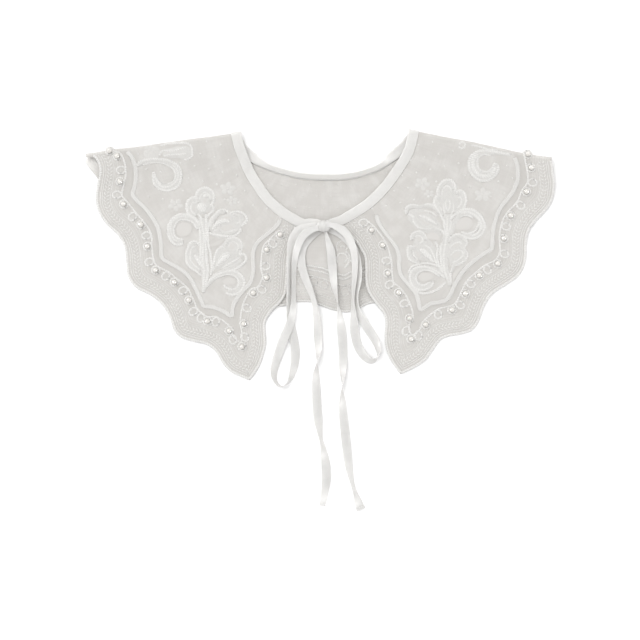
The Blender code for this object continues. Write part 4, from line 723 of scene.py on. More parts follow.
def organza_material():
    made = new_material("organza", GROUND_TONE, 0.62, 0.10)
    tree = made.node_tree
    shader = tree.nodes["Principled BSDF"]
    shader.inputs["Subsurface Weight"].default_value = 0.2
    shader.inputs["Subsurface Radius"].default_value = (1.0, 1.0, 1.0)
    shader.inputs["Subsurface Scale"].default_value = 0.001
    uv = node(tree, "ShaderNodeUVMap", uv_map="UVMap").outputs[0]
    edge = node(tree, "ShaderNodeAttribute", attribute_name="edge_mm").outputs["Fac"]
    sheer = node(tree, "ShaderNodeAttribute", attribute_name="sheer").outputs["Fac"]
    run = node(tree, "ShaderNodeAttribute", attribute_name="run_mm").outputs["Fac"]
    # Fine stitch lines beside the edge, each following the scallops
    lines = maths(tree, "MULTIPLY", maths(tree, "PINGPONG", edge, 1.15), 1.0 / 1.15)
    slant = maths(tree, "ADD", run, maths(tree, "MULTIPLY", edge, 0.9))
    ticks = maths(tree, "PINGPONG", slant, 1.0)
    ticks = maths(tree, "ADD", maths(tree, "MULTIPLY", ticks, 0.6), 0.4)
    stitched = maths(tree, "MULTIPLY", lines, ticks)
    far = maths(tree, "SUBTRACT", 1.0, smooth_step(tree, edge, 19.0, 21.0))
    near = smooth_step(tree, edge, 2.0, 3.0)
    stitched = maths(tree, "MULTIPLY", stitched, maths(tree, "MULTIPLY", near, far))
    # Uneven warp and weft of the sheer ground
    warp = noise_at(tree, uv, (0.05, 0.60, 1.0), 1.0)
    weft = noise_at(tree, uv, (0.60, 0.05, 1.0), 1.0)
    weave = smooth_step(tree, maths(tree, "MULTIPLY", maths(tree, "ADD", warp, weft), 0.5), 0.36, 0.64)
    cloud = smooth_step(tree, noise_at(tree, uv, (1.0, 1.3, 1.0), 0.055, 3.0), 0.42, 0.68)
    base = blend_colours(tree, maths(tree, "MULTIPLY", cloud, 0.75), GROUND_TONE, MILKY_TONE)
    base = blend_colours(tree, maths(tree, "MULTIPLY", weave, 0.30), base, SHEER_TONE)
    base = blend_colours(tree, sheer, base, SHEER_TONE)
    base = blend_colours(tree, maths(tree, "MULTIPLY", stitched, 0.36), base, THREAD_TONE)
    # Painted light: the inner face by the open end of the fold gets a paler base colour, standing in for
    # light that comes through the sheer cloth
    fold_painted_light = node(tree, "ShaderNodeAttribute", attribute_name="fold_painted_light").outputs["Fac"]
    base = blend_colours(tree, fold_painted_light, base, FOLD_PAINTED_LIGHT_TONE)
    tree.links.new(base, shader.inputs["Base Color"])
    height = maths(tree, "ADD", maths(tree, "MULTIPLY", stitched, 0.25),
                   maths(tree, "MULTIPLY", weave, 0.12))
    bump = node(tree, "ShaderNodeBump")
    bump.inputs["Distance"].default_value = 0.001
    bump.inputs["Strength"].default_value = 0.6
    tree.links.new(height, bump.inputs["Height"])
    tree.links.new(bump.outputs[0], shader.inputs["Normal"])
    return made


def thread_material(name, tone, pitch, slant, rough=0.42, depth=0.12, patch=0.5, mottle=0.6,
                    dark=0.88, uneven=0.0):
    """Satin stitch: thin parallel lines across or along the strip."""
    made = new_material(name, tone, rough, 0.15)
    tree = made.node_tree
    shader = tree.nodes["Principled BSDF"]
    uv = node(tree, "ShaderNodeUVMap", uv_map="UVMap")
    parts = node(tree, "ShaderNodeSeparateXYZ")
    tree.links.new(uv.outputs[0], parts.inputs[0])
    along = maths(tree, "ADD", parts.outputs["X"], maths(tree, "MULTIPLY", parts.outputs["Y"], slant))
    lines = maths(tree, "MULTIPLY", maths(tree, "PINGPONG", along, pitch), 1.0 / pitch)
    darker = tuple(dark * c for c in tone)
    stitched = blend_colours(tree, lines, darker, tone)
    patchy = smooth_step(tree, noise_at(tree, uv.outputs[0], (1.0, 1.0, 1.0), patch, 2.0), 0.42, 0.62)
    stitched = blend_colours(tree, maths(tree, "MULTIPLY", patchy, mottle), stitched, darker)
    tree.links.new(stitched, shader.inputs["Base Color"])
    bump = node(tree, "ShaderNodeBump")
    bump.inputs["Distance"].default_value = 0.001 * depth
    bump.inputs["Strength"].default_value = 0.8
    fluff = noise_at(tree, uv.outputs[0], (1.0, 1.0, 1.0), 1.0, 1.0)
    relief = maths(tree, "ADD", lines, maths(tree, "MULTIPLY", fluff, uneven))
    tree.links.new(relief, bump.inputs["Height"])
    tree.links.new(bump.outputs[0], shader.inputs["Normal"])
    return made


ORGANZA = organza_material()
SATIN_THREAD = thread_material("satin_thread", THREAD_TONE, 1.1, 0.5, depth=0.38, mottle=0.8,
                               dark=0.84, uneven=1.5)
ROW_THREAD = thread_material("stitch_row_thread", THREAD_TONE, 0.5, 0.5, patch=0.16, mottle=0.9, dark=0.84)
NET = new_material("open_net", NET_TONE, 0.7)
PALE_THREAD = thread_material("flat_stitch", PALE_TONE, 0.5, 0.3, 0.55, 0.1)
CORD_THREAD = thread_material("corded_thread", CORD_TONE, 0.8, 0.5, 0.5, 0.3, 0.8)
FILL_THREAD = thread_material("padded_fill", FILL_TONE, 0.9, 0.8, 0.5, 0.3, 0.55, 0.95)
RIBBON = thread_material("satin_ribbon", RIBBON_TONE, 0.3, 0.15, 0.5, 0.03, 0.12)
ribbon_shader = RIBBON.node_tree.nodes["Principled BSDF"]
ribbon_shader.inputs["Subsurface Weight"].default_value = 0.65
ribbon_shader.inputs["Subsurface Radius"].default_value = (1.0, 1.0, 1.0)
ribbon_shader.inputs["Subsurface Scale"].default_value = 0.002
BINDING = RIBBON.copy()
BINDING.name = "satin_binding"
links = BINDING.node_tree.links
base_in = BINDING.node_tree.nodes["Principled BSDF"].inputs["Base Color"]
band_colour = base_in.links[0].from_socket
# Painted light and shade over the band's colour: paler where the binding leans or a ribbon's lower strand
# lies, darker where a free ribbon stands on edge, paler in a ribbon's hollow
for share_name, tone in (("painted_light_share", PAINTED_LIGHT_TONE), ("turned", EDGE_ON_PAINTED_SHADE_TONE), ("hollow_painted_light", HOLLOW_PAINTED_LIGHT_TONE)):
    share = node(BINDING.node_tree, "ShaderNodeAttribute", attribute_name=share_name).outputs["Fac"]
    band_colour = blend_colours(BINDING.node_tree, share, band_colour, tone)
links.new(band_colour, base_in)
PEARL = new_material("pearl", PEARL_TONE, 0.09, gloss=0.5)
PEARL.node_tree.nodes["Principled BSDF"].inputs["Coat Weight"].default_value = 1.0
PEARL.node_tree.nodes["Principled BSDF"].inputs["Coat Roughness"].default_value = 0.05

object_parts = bpy.data.collections.new("collar_pieces")
bpy.context.scene.collection.children.link(object_parts)


def make_object(name, points, faces, uvs, made_of, sharp=None):
    """A mesh piece in the frame's metres, shaded smooth, riding the root."""
    mesh = bpy.data.meshes.new(name)
    mesh.from_pydata(to_row(points).tolist(), [], faces)
    mesh.materials.append(made_of)
    layer = mesh.uv_layers.new(name="UVMap")
    corner = np.empty(len(mesh.loops), np.int32)
    mesh.loops.foreach_get("vertex_index", corner)
    layer.data.foreach_set("uv", np.asarray(uvs, np.float32)[corner].ravel())
    mesh.polygons.foreach_set("use_smooth", [True] * len(mesh.polygons))
    if sharp:
        mesh.set_sharp_from_angle(angle=math.radians(sharp))
    mesh.update()
    obj = bpy.data.objects.new(name, mesh)
    object_parts.objects.link(obj)
    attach(obj, "root")
    return obj


class Pile:
    """Many small bits gathered into one mesh."""

    def __init__(self):
        self.points = []
        self.faces = []
        self.uvs = []
        self.count = 0

    def add(self, points, faces, uvs):
        self.points.append(np.asarray(points, float))
        self.uvs.append(np.asarray(uvs, float))
        self.faces += [tuple(i + self.count for i in face) for face in faces]
        self.count += len(points)

    def build(self, name, made_of, slot, sharp=None):
        return make_object(name, np.concatenate(self.points), self.faces,
                           np.concatenate(self.uvs), made_of, sharp)


# Panel: two fronts, two shoulder folds and the back, as one grid
def height_of(xy, across, fold_start, v, back_outline):
    """Height of the front's middle surface, with the way it settles from the fold."""
    flat = xy.reshape(-1, 2)
    outside = outside_distance(flat, back_outline).reshape(xy.shape[:-1])
    from_fold = np.maximum(0, (xy - fold_start) @ across)
    level = CLOTH / 2 + (CLOTH + LAYER_GAP) * (1 - smooth((outside - DROP_MARGIN) / DROP_BAND))
    swell = SWELL * (0.5 + 0.5 * np.sin(xy[..., 0] / SWELL_ACROSS + xy[..., 1] / SWELL_DOWN))
    swell = swell * smooth(v / SWELL_FULL_AT) * smooth((from_fold - SWELL_START) / SWELL_GROWS)
    lift = (CLOTH / 2 + 2 * FOLD_RADIUS - level) * (1 - smooth(from_fold / SETTLE))
    return level + lift + swell


def crease_height(xy):
    """Soft troughs and ridges laid over the fronts."""
    total = np.zeros(xy.shape[:-1])
    for x1, y1, x2, y2, depth, half in CREASES:
        a = np.array([x1, y1])
        d = np.array([x2, y2]) - a
        t = ((xy - a) @ d) / (d @ d)
        near = np.clip(t, 0, 1)
        gap = np.linalg.norm(xy - a - near[..., None] * d, axis=-1)
        total += depth * np.exp(-(gap / half) ** 2)
    return total


def front_part(fold_table, neck_table, outer_table, front_table, side, back_outline):
    fold = even(catmull(fold_table), ROWS + 1)
    across = inward(fold, side)
    fold_in = fold + FOLD_RADIUS * across
    reach = 3 * FRONT_STATIONS // CAD_FRONT_STATIONS
    neck = moved_start(even(catmull(neck_table), FRONT_STATIONS), fold_in[0], reach)
    outer = moved_start(even(catmull(outer_table), FRONT_STATIONS), fold_in[-1], reach)
    front = even(catmull(front_table), ROWS + 1)
    grid = coons(neck, outer, fold_in, front)
    v = np.linspace(0, 1, ROWS + 1)[None, :]
    z = height_of(grid, across, fold_in[None], v, back_outline)
    ease = smooth(((grid - fold_in[None]) @ across) / CREASE_EASE)
    z = z + crease_height(grid) * ease
    arcs = []
    for k in range(1, FOLD_STATIONS):
        angle = math.pi / 2 - math.pi * k / FOLD_STATIONS
        out = fold_in - across * FOLD_RADIUS * math.cos(angle)
        height = CLOTH / 2 + FOLD_RADIUS * (1 + math.sin(angle))
        arcs.append(np.concatenate([out, np.full((ROWS + 1, 1), height)], axis=1))
    return {"grid": np.concatenate([grid, z[:, :, None]], axis=2), "arcs": arcs, "fold": fold,
            "fold_in": fold_in, "across": across, "neck": neck, "outer": outer, "front": front}


def back_part(stations, rows, reach):
    left_in = even(catmull(LEFT_FOLD), rows + 1)
    left_in = left_in + FOLD_RADIUS * inward(left_in, 1.0)
    right_in = even(catmull(RIGHT_FOLD), rows + 1)
    right_in = right_in + FOLD_RADIUS * inward(right_in, -1.0)
    neck = moved_start(even(catmull(BACK_NECK), stations), left_in[0], reach)
    neck = moved_start(neck[::-1], right_in[0], reach)[::-1]
    outer = moved_start(even(catmull(BACK_OUTER), stations), left_in[-1], reach)
    outer = moved_start(outer[::-1], right_in[-1], reach)[::-1]
    outline = np.concatenate([neck, right_in[1:-1], outer[::-1], left_in[1:-1][::-1]])
    return neck, outer, left_in, right_in, outline


back_neck, back_outer, back_left_in, back_right_in, back_outline = back_part(
    BACK_STATIONS, ROWS, 3 * BACK_STATIONS // CAD_BACK_STATIONS)
left = front_part(LEFT_FOLD, LEFT_NECK, LEFT_OUTER, LEFT_FRONT, 1.0, back_outline)
right = front_part(RIGHT_FOLD, RIGHT_NECK, RIGHT_OUTER, RIGHT_FRONT, -1.0, back_outline)
back_grid = coons(back_neck, back_outer, back_left_in, back_right_in)
back_cols = np.concatenate(
    [back_grid, np.full(back_grid.shape[:2] + (1,), CLOTH / 2)], axis=2)

columns = np.stack(list(left["grid"][::-1]) + left["arcs"] + list(back_cols)
                   + right["arcs"][::-1] + list(right["grid"]))
along_u = np.gradient(columns, axis=0)
along_v = np.gradient(columns, axis=1)
normal = np.cross(along_u, along_v)
normal /= np.maximum(np.linalg.norm(normal, axis=2), 1e-9)[..., None]
count, per = columns.shape[:2]
first_arc = FRONT_STATIONS
last_arc = count - FRONT_STATIONS


def grid_faces(start, stop, base=0, flip=False):
    faces = []
    for i in range(start, stop - 1):
        for j in range(per - 1):
            a = base + i * per + j
            quad = (a, a + per, a + per + 1, a + 1)
            faces.append(quad[::-1] if flip else quad)
    return faces


def build_cloth():
    half = SHEER / 2
    flat = columns.reshape(-1, 3)
    turned = normal.reshape(-1, 3)
    points = np.concatenate([flat + turned * half, flat - turned * half])
    size = len(flat)
    faces = grid_faces(0, count) + grid_faces(0, count, size, flip=True)
    rim = [i * per for i in range(count)]
    rim += [(count - 1) * per + j for j in range(1, per)]
    rim += [i * per + per - 1 for i in range(count - 2, -1, -1)]
    rim += list(range(per - 2, 0, -1))
    for a, b in zip(rim, rim[1:] + rim[:1]):
        faces.append((b, a, a + size, b + size))
    steps_u = np.linalg.norm(np.diff(columns, axis=0), axis=2)
    u = np.concatenate([np.zeros((1, per)), np.cumsum(steps_u, axis=0)])
    u = np.repeat(u[:, per // 2][:, None], per, axis=1)
    steps_v = np.linalg.norm(np.diff(columns, axis=1), axis=2)
    v = np.concatenate([np.zeros((count, 1)), np.cumsum(steps_v, axis=1)], axis=1)
    uvs = np.stack([u.ravel(), v.ravel()], axis=1)
    obj = make_object("collar_shell", points, faces, np.concatenate([uvs, uvs]), ORGANZA)
    edge = np.full((count, per), 99.0)
    sheer = np.zeros((count, per))
    run = np.zeros((count, per))
    outer_length = np.concatenate([[0], np.cumsum(steps_u[:, -1])])
    run[:] = outer_length[:, None]
    for part, cord, where in ((left, LEFT_CORD, slice(0, first_arc)),
                              (right, RIGHT_CORD, slice(last_arc, count))):
        xy = columns[where, :, :2].reshape(-1, 2)
        rim_line = np.concatenate([part["outer"], part["front"][::-1][1:]])
        edge[where] = distance_to(xy, rim_line).reshape(-1, per)
        cord_line = even(catmull(cord), 160)
        gap = distance_to(xy, cord_line).reshape(-1, per)
        outer_side = edge[where] < distance_to_edge_of(cord_line, rim_line, xy).reshape(-1, per)
        sheer[where] = outer_side * (BORDER_SHEER + (0.8 - BORDER_SHEER) * (1 - smooth((gap - 3.4) / 1.4)))
    inner = slice(first_arc, last_arc)
    xy = columns[inner, :, :2].reshape(-1, 2)
    edge[inner] = distance_to(xy, back_outer).reshape(-1, per)
    open_end = columns[first_arc, -1, :2]
    # Painted light: share of the paler base colour near the fold's open end, laid on the inner face only
    fold_painted_light = 1 - smooth((np.linalg.norm(columns[..., :2] - open_end, axis=2) - 7.0) / 18.0)
    first_is_inner = normal[count // 2, per // 2, 2] > 0
    fold_painted_light_faces = (fold_painted_light, np.zeros_like(fold_painted_light)) if first_is_inner else (np.zeros_like(fold_painted_light), fold_painted_light)
    for name, values in (("edge_mm", (edge, edge)), ("sheer", (sheer, sheer)), ("run_mm", (run, run)),
                         ("fold_painted_light", fold_painted_light_faces)):
        made = obj.data.attributes.new(name, "FLOAT", "POINT")
        made.data.foreach_set("value", np.concatenate([v.ravel() for v in values]).astype(np.float32))
    return obj


def distance_to_edge_of(cord_line, rim_line, xy):
    """For each point, the distance from its nearest cord point to the edge."""
    from_edge = distance_to(cord_line, rim_line)
    nearest = np.argmin(np.linalg.norm(xy[:, None] - cord_line[None], axis=2), axis=1)
    return from_edge[nearest]


cloth = build_cloth()


def surface_tree(start, stop):
    flat = columns[start:stop].reshape(-1, 3)
    faces = []
    for i in range(stop - start - 1):
        for j in range(per - 1):
            a = i * per + j
            faces += [(a, a + per, a + per + 1), (a, a + per + 1, a + 1)]
    return BVHTree.FromPolygons(flat.tolist(), faces)


front_trees = [surface_tree(0, first_arc + 6), surface_tree(last_arc - 6, count)]
back_tree = surface_tree(first_arc, last_arc)


def height_on(trees, x, y, rise=SHEER / 2):
    """Height of the cloth's upper face, or of its nearest point past an edge."""
    for tree in trees:
        hit = tree.ray_cast(Vector((x, y, RAY_HEIGHT)), Vector((0, 0, -1)))
        if hit[0] is not None:
            return hit[0].z + rise
    best = None
    for tree in trees:
        near = tree.find_nearest(Vector((x, y, 2.0)))
        if near[0] is not None and (best is None or near[3] < best[1]):
            best = (near[0].z + rise, near[3])
    return best[0]


def on_front(x, y):
    return height_on(front_trees, x, y)


def on_back(x, y):
    return height_on([back_tree], x, y)


DOME = ((-1.0, -0.12), (-0.93, 0.36), (-0.62, 0.79), (0.0, 1.0), (0.62, 0.79), (0.93, 0.36),
        (1.0, -0.12))
DOUBLE_DOME = ((-1.0, -0.12), (-0.9, 0.55), (-0.55, 1.0), (-0.12, 0.55), (0.12, 0.55), (0.55, 1.0),
               (0.9, 0.55), (1.0, -0.12))
THIN_DOME = ((-1.0, 0.0), (-0.6, 0.8), (0.6, 0.8), (1.0, 0.0))


def strip_on(pile, line, half, height, ground, section=DOME, ring=False, notch=0.0):
    """A raised strip that follows the cloth; ring joins its ends, notch sets its stitched edge."""
    line = np.asarray(line, float)
    n = len(line)
    half = np.broadcast_to(half, n) * (1 + notch * (-1.0) ** np.arange(n))
    height = np.broadcast_to(height, n)
    if ring:
        run = np.roll(line, -1, axis=0) - np.roll(line, 1, axis=0)
    else:
        run = np.gradient(line, axis=0)
    run = run / np.maximum(np.linalg.norm(run, axis=1), 1e-9)[:, None]
    side = np.stack([-run[:, 1], run[:, 0]], axis=1)
    along = run_length(line)
    points, uvs = [], []
    for i in range(n):
        for a, b in section:
            x, y = line[i] + side[i] * a * half[i]
            points.append((x, y, ground(x, y) + b * height[i]))
            uvs.append((along[i], a * half[i]))
    k = len(section)
    faces = []
    for i in range(n if ring else n - 1):
        m = (i + 1) % n
        for j in range(k):
            q = (j + 1) % k
            faces.append((i * k + j, m * k + j, m * k + q, i * k + q))
    if not ring:
        faces.append(tuple(range(k)))
        faces.append(tuple((n - 1) * k + j for j in range(k - 1, -1, -1)))
    pile.add(points, faces, uvs)


def patch_on(pile, outline, height, ground, levels=((0.0, 1.0), (0.75, 0.84), (1.0, 0.45))):
    """A low domed patch inside a closed outline."""
    ring = np.asarray(outline, float)
    middle = ring.mean(axis=0)
    k = len(ring)
    points, uvs = [], []
    for rise, share in levels:
        for q in ring:
            x, y = middle + (q - middle) * share
            points.append((x, y, ground(x, y) + rise * height))
            uvs.append((x, y))
    points.append((*middle, ground(*middle) + height))
    uvs.append(tuple(middle))
    faces = []
    for level in range(len(levels) - 1):
        for j in range(k):
            q = (j + 1) % k
            a = level * k
            faces.append((a + j, a + q, a + k + q, a + k + j))
    top = (len(levels) - 1) * k
    for j in range(k):
        faces.append((top + j, top + (j + 1) % k, len(points) - 1))
    area = 0.5 * np.sum(ring[:, 0] * np.roll(ring[:, 1], -1) - ring[:, 1] * np.roll(ring[:, 0], -1))
    if area < 0:
        faces = [face[::-1] for face in faces]
    pile.add(points, faces, uvs)


def circle(x, y, radius, n=18, turn=0.0):
    angles = np.linspace(0, 2 * math.pi, n, endpoint=False) + turn
    return np.stack([x + radius * np.cos(angles), y + radius * np.sin(angles)], axis=1)


LEAST_RUN = 3


def runs_where(line, keep):
    """The unbroken stretches of the line where keep holds, if longer than the least run."""
    runs, current = [], []
    for point, kept in zip(line, keep):
        if kept:
            current.append(point)
            continue
        if len(current) > LEAST_RUN:
            runs.append(np.array(current))
        current = []
    if len(current) > LEAST_RUN:
        runs.append(np.array(current))
    return runs


def offset_runs(line, distance, rim, towards=1.0, slack=0.12):
    """The line moved square to itself, kept where it is truly that far from the rim."""
    moved = line + neck_side(line) * distance * towards
    return runs_where(moved, distance_to(moved, rim) > distance - slack)


def kept_runs(line, inside):
    """The stretches of the line that lie inside an outline."""
    return runs_where(line, inside(line))


def resample(line, step):
    length = np.linalg.norm(np.diff(line[:, :2], axis=0), axis=1).sum()
    return even(line, max(3, int(round(length / step))))


# Scalloped rims, from the fold round to the neck
def rim_of(part, outer_table, front_table):
    outer = even(catmull(outer_table), 420)
    front = even(catmull(front_table), 200)
    outer = moved_start(outer, part["fold_in"][-1], 14)
    return outer, front[::-1]


left_outer, left_front = rim_of(left, LEFT_OUTER, LEFT_FRONT)
right_outer, right_front = rim_of(right, RIGHT_OUTER, RIGHT_FRONT)
FRONTS = (("left", left_outer, left_front, LEFT_CORD, LEFT_RINGS, 1.0),
          ("right", right_outer, right_front, RIGHT_CORD, RIGHT_RINGS, -1.0))


def within(outline):
    return lambda spots: outside_distance(spots, outline) == 0


DASH_HALVES = (0.25, 0.45, 0.5, 0.45, 0.25)


def dash_row(pile, base, turn, ground, inside, slant=1.0):
    """Slanted satin dashes side by side along a line."""
    if len(base) < 3:
        return
    out = neck_side(base) * turn
    run = np.gradient(base, axis=0)
    run = run / np.linalg.norm(run, axis=1)[:, None]
    for p, o, r in zip(base, out, run):
        ends = [p - o * DASH_HALF - r * slant, p + r * 0.25, p + o * DASH_HALF + r * slant]
        if inside(np.array(ends)).all():
            strip_on(pile, even(catmull(ends, 4), 5), DASH_HALVES, DASH_HEIGHT, ground)


edge_pile, row_pile, ring_pile = Pile(), Pile(), Pile()
for side_name, outer_line, front_line, cord_table, rings, turn in FRONTS:
    rim = np.concatenate([outer_line, front_line[1:]])
    part = left if side_name == "left" else right
    outline = within(np.concatenate([rim, part["neck"][::-1], part["fold_in"]]))
    for piece in (outer_line, front_line):
        for run_line in offset_runs(piece, EDGE_CORD_AT, rim, turn, 0.35):
            for kept in kept_runs(run_line, outline):
                strip_on(edge_pile, resample(kept, 1.1), EDGE_CORD_HALF, EDGE_CORD_HEIGHT, on_front,
                         notch=0.08)
        for distance in STITCH_ROWS:
            for run_line in offset_runs(piece, distance, rim, turn):
                for kept in kept_runs(run_line, outline):
                    strip_on(row_pile, resample(kept, 1.4), ROW_HALF, ROW_HEIGHT, on_front,
                             THIN_DOME, notch=0.3)
        for middle, slant in DASH_ROWS:
            for run_line in offset_runs(piece, middle, rim, turn, 0.4):
                dash_row(row_pile, resample(run_line, DASH_PITCH), turn, on_front, outline, slant)
    cord_line = even(catmull(cord_table), 300)
    thin = []
    for x, y, pearl_ring in rings:
        centre = np.array([x, y])
        nearest = cord_line[np.argmin(np.linalg.norm(cord_line - centre, axis=1))]
        inner = unit(nearest - centre)
        radius = PEARL_RING if pearl_ring else LOOP_RING[1]
        narrow = 1.0 if pearl_ring else LOOP_RING[0] / LOOP_RING[1]
        loop = circle(0.0, 0.0, radius) * (narrow, 1.0)
        loop = loop @ np.array([[inner[1], -inner[0]], [inner[0], inner[1]]])
        strip_on(ring_pile, loop + centre, RING_HALF, THIN_CORD_HEIGHT, on_front, ring=True, notch=0.16)
        thin.append(centre + inner * (radius + 0.4))
    strip_on(ring_pile, resample(catmull(thin), 1.4), THIN_CORD_HALF, THIN_CORD_HEIGHT, on_front,
             notch=0.14)

edge_cord = edge_pile.build("scalloped_edge", SATIN_THREAD, "satin_thread")
stitch_rows = row_pile.build("stitch_rows", ROW_THREAD, "satin_thread")
looped_cord = ring_pile.build("looped_cord", SATIN_THREAD, "satin_thread")

# Bold corded line inside the pearl border
for side_name, cord_table in (("left", LEFT_CORD), ("right", RIGHT_CORD)):
    pile = Pile()
    strip_on(pile, resample(catmull(cord_table), 0.9), BOLD_CORD_HALF, BOLD_CORD_HEIGHT, on_front,
             DOUBLE_DOME, notch=0.13)
    bold = pile.build(f"bold_cord_{side_name}", CORD_THREAD, "satin_thread")
    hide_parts(f"corded_line_{side_name}")


# Flower motif on each front
FLAT_LEVELS = ((-0.3, 1.0), (0.8, 0.93), (1.0, 0.5))


def motif(side_name, ropes, bodies, leaves, petals, net):
    satin, fill, open_net = Pile(), Pile(), Pile()
    for table in bodies:
        line = resample(catmull(np.array(table, float)), 1.1)
        strip_on(fill, line[:, :2], line[:, 2] * 1.1, 0.5, on_front, notch=0.1)
    for half, table in ropes:
        line = resample(catmull(np.array(table, float)), 1.0)
        from_tip = np.minimum(np.arange(len(line)), np.arange(len(line))[::-1])
        taper = np.minimum(1.0, 0.45 + from_tip / 4) * ROPE_WIDEN
        strip_on(satin, line, half * taper, ROPE_HEIGHT * half * taper, on_front, notch=0.28)
    for outline in leaves.values():
        closed = np.array(outline + outline[:1], float)
        patch_on(fill, even(catmull(closed), 49)[:-1], 0.22, on_front, FLAT_LEVELS)
    for outline in net:
        closed = np.array(outline + outline[:1], float)
        patch_on(open_net, even(catmull(closed), 17)[:-1], 0.28, on_front,
                 ((0.85, 1.0), (0.95, 0.84), (1.0, 0.45)))
    for table in petals:
        line = resample(catmull(np.array(table, float)), 1.2)
        strip_on(satin, line[:, :2], line[:, 2], 0.35 + 0.28 * line[:, 2], on_front)
    raised = satin.build(f"motif_satin_{side_name}", SATIN_THREAD, "satin_thread")
    filled = fill.build(f"motif_fill_{side_name}", FILL_THREAD, "satin_thread")
    netted = open_net.build(f"motif_net_{side_name}", NET, "organza")
    return raised, filled, netted


motif_pieces = []
MOTIF_NODES = ("stem", "scroll", "volute", "shoulder", "leaf", "trefoil")
for side_name, ropes, bodies, leaves, petals, net, sign in (
        ("left", LEFT_ROPES, LEFT_BODIES, LEFT_LEAVES, LEFT_PETALS, LEFT_NET, -1),
        ("right", RIGHT_ROPES, RIGHT_BODIES, RIGHT_LEAVES, RIGHT_PETALS, RIGHT_NET, 1)):
    made = motif(side_name, ropes, bodies, leaves, petals, net)
    under = [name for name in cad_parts
             if name.startswith(MOTIF_NODES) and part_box(name)[0][0] * sign > 0]
    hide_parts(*under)
    motif_pieces += made

pad_pile = Pile()
for x, y, half_x, half_y in PADS:
    patch_on(pad_pile, circle(0.0, 0.0, 1.0, 18) * (half_x, half_y) + (x, y), 0.9, on_front)
pads = pad_pile.build("motif_pads", SATIN_THREAD, "satin_thread")

# Flat-stitch flowers, five petals each, and a round middle
flower_pile = Pile()
for x, y, radius, turn in PALE_FLOWERS:
    for k in range(5):
        angle = math.radians(turn) + 2 * math.pi * k / 5
        cx = x + 0.62 * radius * math.cos(angle)
        cy = y + 0.50 * radius * math.sin(angle)
        petal = circle(0.0, 0.0, 1.0, 14) * (0.42 * radius, 0.33 * radius)
        c, s = math.cos(angle), math.sin(angle)
        petal = petal @ np.array([[c, s], [-s, c]]) + (cx, cy)
        patch_on(flower_pile, petal, 0.28, on_front)
    patch_on(flower_pile, circle(x, y, 0.2 * radius, 10), 0.4, on_front)
for outline in PALE_FIELDS:
    closed = np.array(outline + outline[:1], float)
    patch_on(flower_pile, even(catmull(closed), 41)[:-1], 0.2, on_front, FLAT_LEVELS)
flowers = flower_pile.build("flat_stitch_flowers", PALE_THREAD, "satin_thread")

# Small woven dots in slanting rows, kept clear of the motif and the border
DOT_STEP = (13.3, -2.85)
DOT_ROW = (-5.7, -11.4)
DOT_START = {"left": (-106.9, 106.1), "right": (107.0, 106.0)}
BUSY_GAP = 3.5


def dots_for(side_name, cord_table, ropes, mirror, ground, inside):
    busy = [resample(catmull(np.array(table, float)), 2.5) for _, table in ropes]
    cord = even(catmull(cord_table), 120)
    x0, y0 = DOT_START[side_name]
    for row in range(-3, 14):
        for step in range(-14, 15):
            x = x0 + mirror * (step * DOT_STEP[0] + row * DOT_ROW[0])
            y = y0 + step * DOT_STEP[1] + row * DOT_ROW[1]
            spot = np.array([[x, y]])
            if y < DOTS_DOWN_TO or not inside(spot)[0]:
                continue
            if distance_to(spot, cord)[0] < 4.5:
                continue
            if any(distance_to(spot, line)[0] < BUSY_GAP for line in busy):
                continue
            patch_on(dot_pile, circle(x, y, 0.95, 8), 0.35, ground)


dot_pile = Pile()
for side_name, part, cord_table, ropes, mirror in (
        ("left", left, LEFT_CORD, LEFT_ROPES, 1.0),
        ("right", right, RIGHT_CORD, RIGHT_ROPES, -1.0)):
    cord = even(catmull(cord_table), 120)
    field = np.concatenate([part["neck"][::-1], part["fold_in"][:40], cord])
    dots_for(side_name, cord_table, ropes, mirror, on_front, within(field))
dots = dot_pile.build("woven_dots", SATIN_THREAD, "satin_thread")

# Back panel's wrong side, where it shows through the neck and between the fronts
back_pile, back_dot_pile = Pile(), Pile()
back_rim = even(catmull(BACK_OUTER), 560)
SEEN_BACK = (-64.0, 84.0)


def seen(line):
    """Runs of the line between the fronts."""
    keep = (line[:, 0] > SEEN_BACK[0]) & (line[:, 0] < SEEN_BACK[1])
    return line[keep]


for distance, half, height in ((0.9, EDGE_CORD_HALF, 0.5), (4.2, 0.3, 0.2), (6.4, 0.3, 0.2),
                               (8.6, 0.3, 0.2), (BACK_LINES[0], 0.7, 0.3),
                               (BACK_LINES[1], 0.9, 0.35), (BACK_LINES[2], 1.1, 0.4)):
    for run_line in offset_runs(back_rim, distance, back_rim, 1.0, 0.3):
        visible = seen(run_line)
        if len(visible) > 4:
            strip_on(back_pile, resample(visible, 2.0), half, height, on_back, THIN_DOME)
inside_back = within(np.concatenate([back_neck, back_rim[::-1]]))
for run_line in offset_runs(back_rim, DASH_ROWS[0][0] + 2.0, back_rim, 1.0, 0.4):
    visible = seen(run_line)
    if len(visible) > 4:
        dash_row(back_pile, resample(visible, DASH_PITCH), 1.0, on_back, inside_back)
for run_line in offset_runs(back_rim, BACK_RING_EDGE, back_rim, 1.0, 0.4):
    visible = seen(run_line)
    if len(visible) > 4:
        for x, y in resample(visible, 10.2):
            strip_on(back_pile, circle(x, y, 3.8), 0.6, 0.3, on_back, THIN_DOME, ring=True)
for half, table in BACK_ROPES:
    strip_on(back_pile, resample(catmull(table), 1.0), half, 0.4, on_back, notch=0.12)
back_work = back_pile.build("back_embroidery", SATIN_THREAD, "satin_thread")

for row in range(-1, 9):
    for step in range(-10, 11):
        x = 4.0 + step * 13.3 + row * 6.6
        y = 66.0 - row * 11.0
        if y < 18 or not inside_back(np.array([[x, y]]))[0]:
            continue
        patch_on(back_dot_pile, circle(x, y, 0.9, 8), 0.3, on_back)
back_dots = back_dot_pile.build("woven_dots_back", PALE_THREAD, "satin_thread")

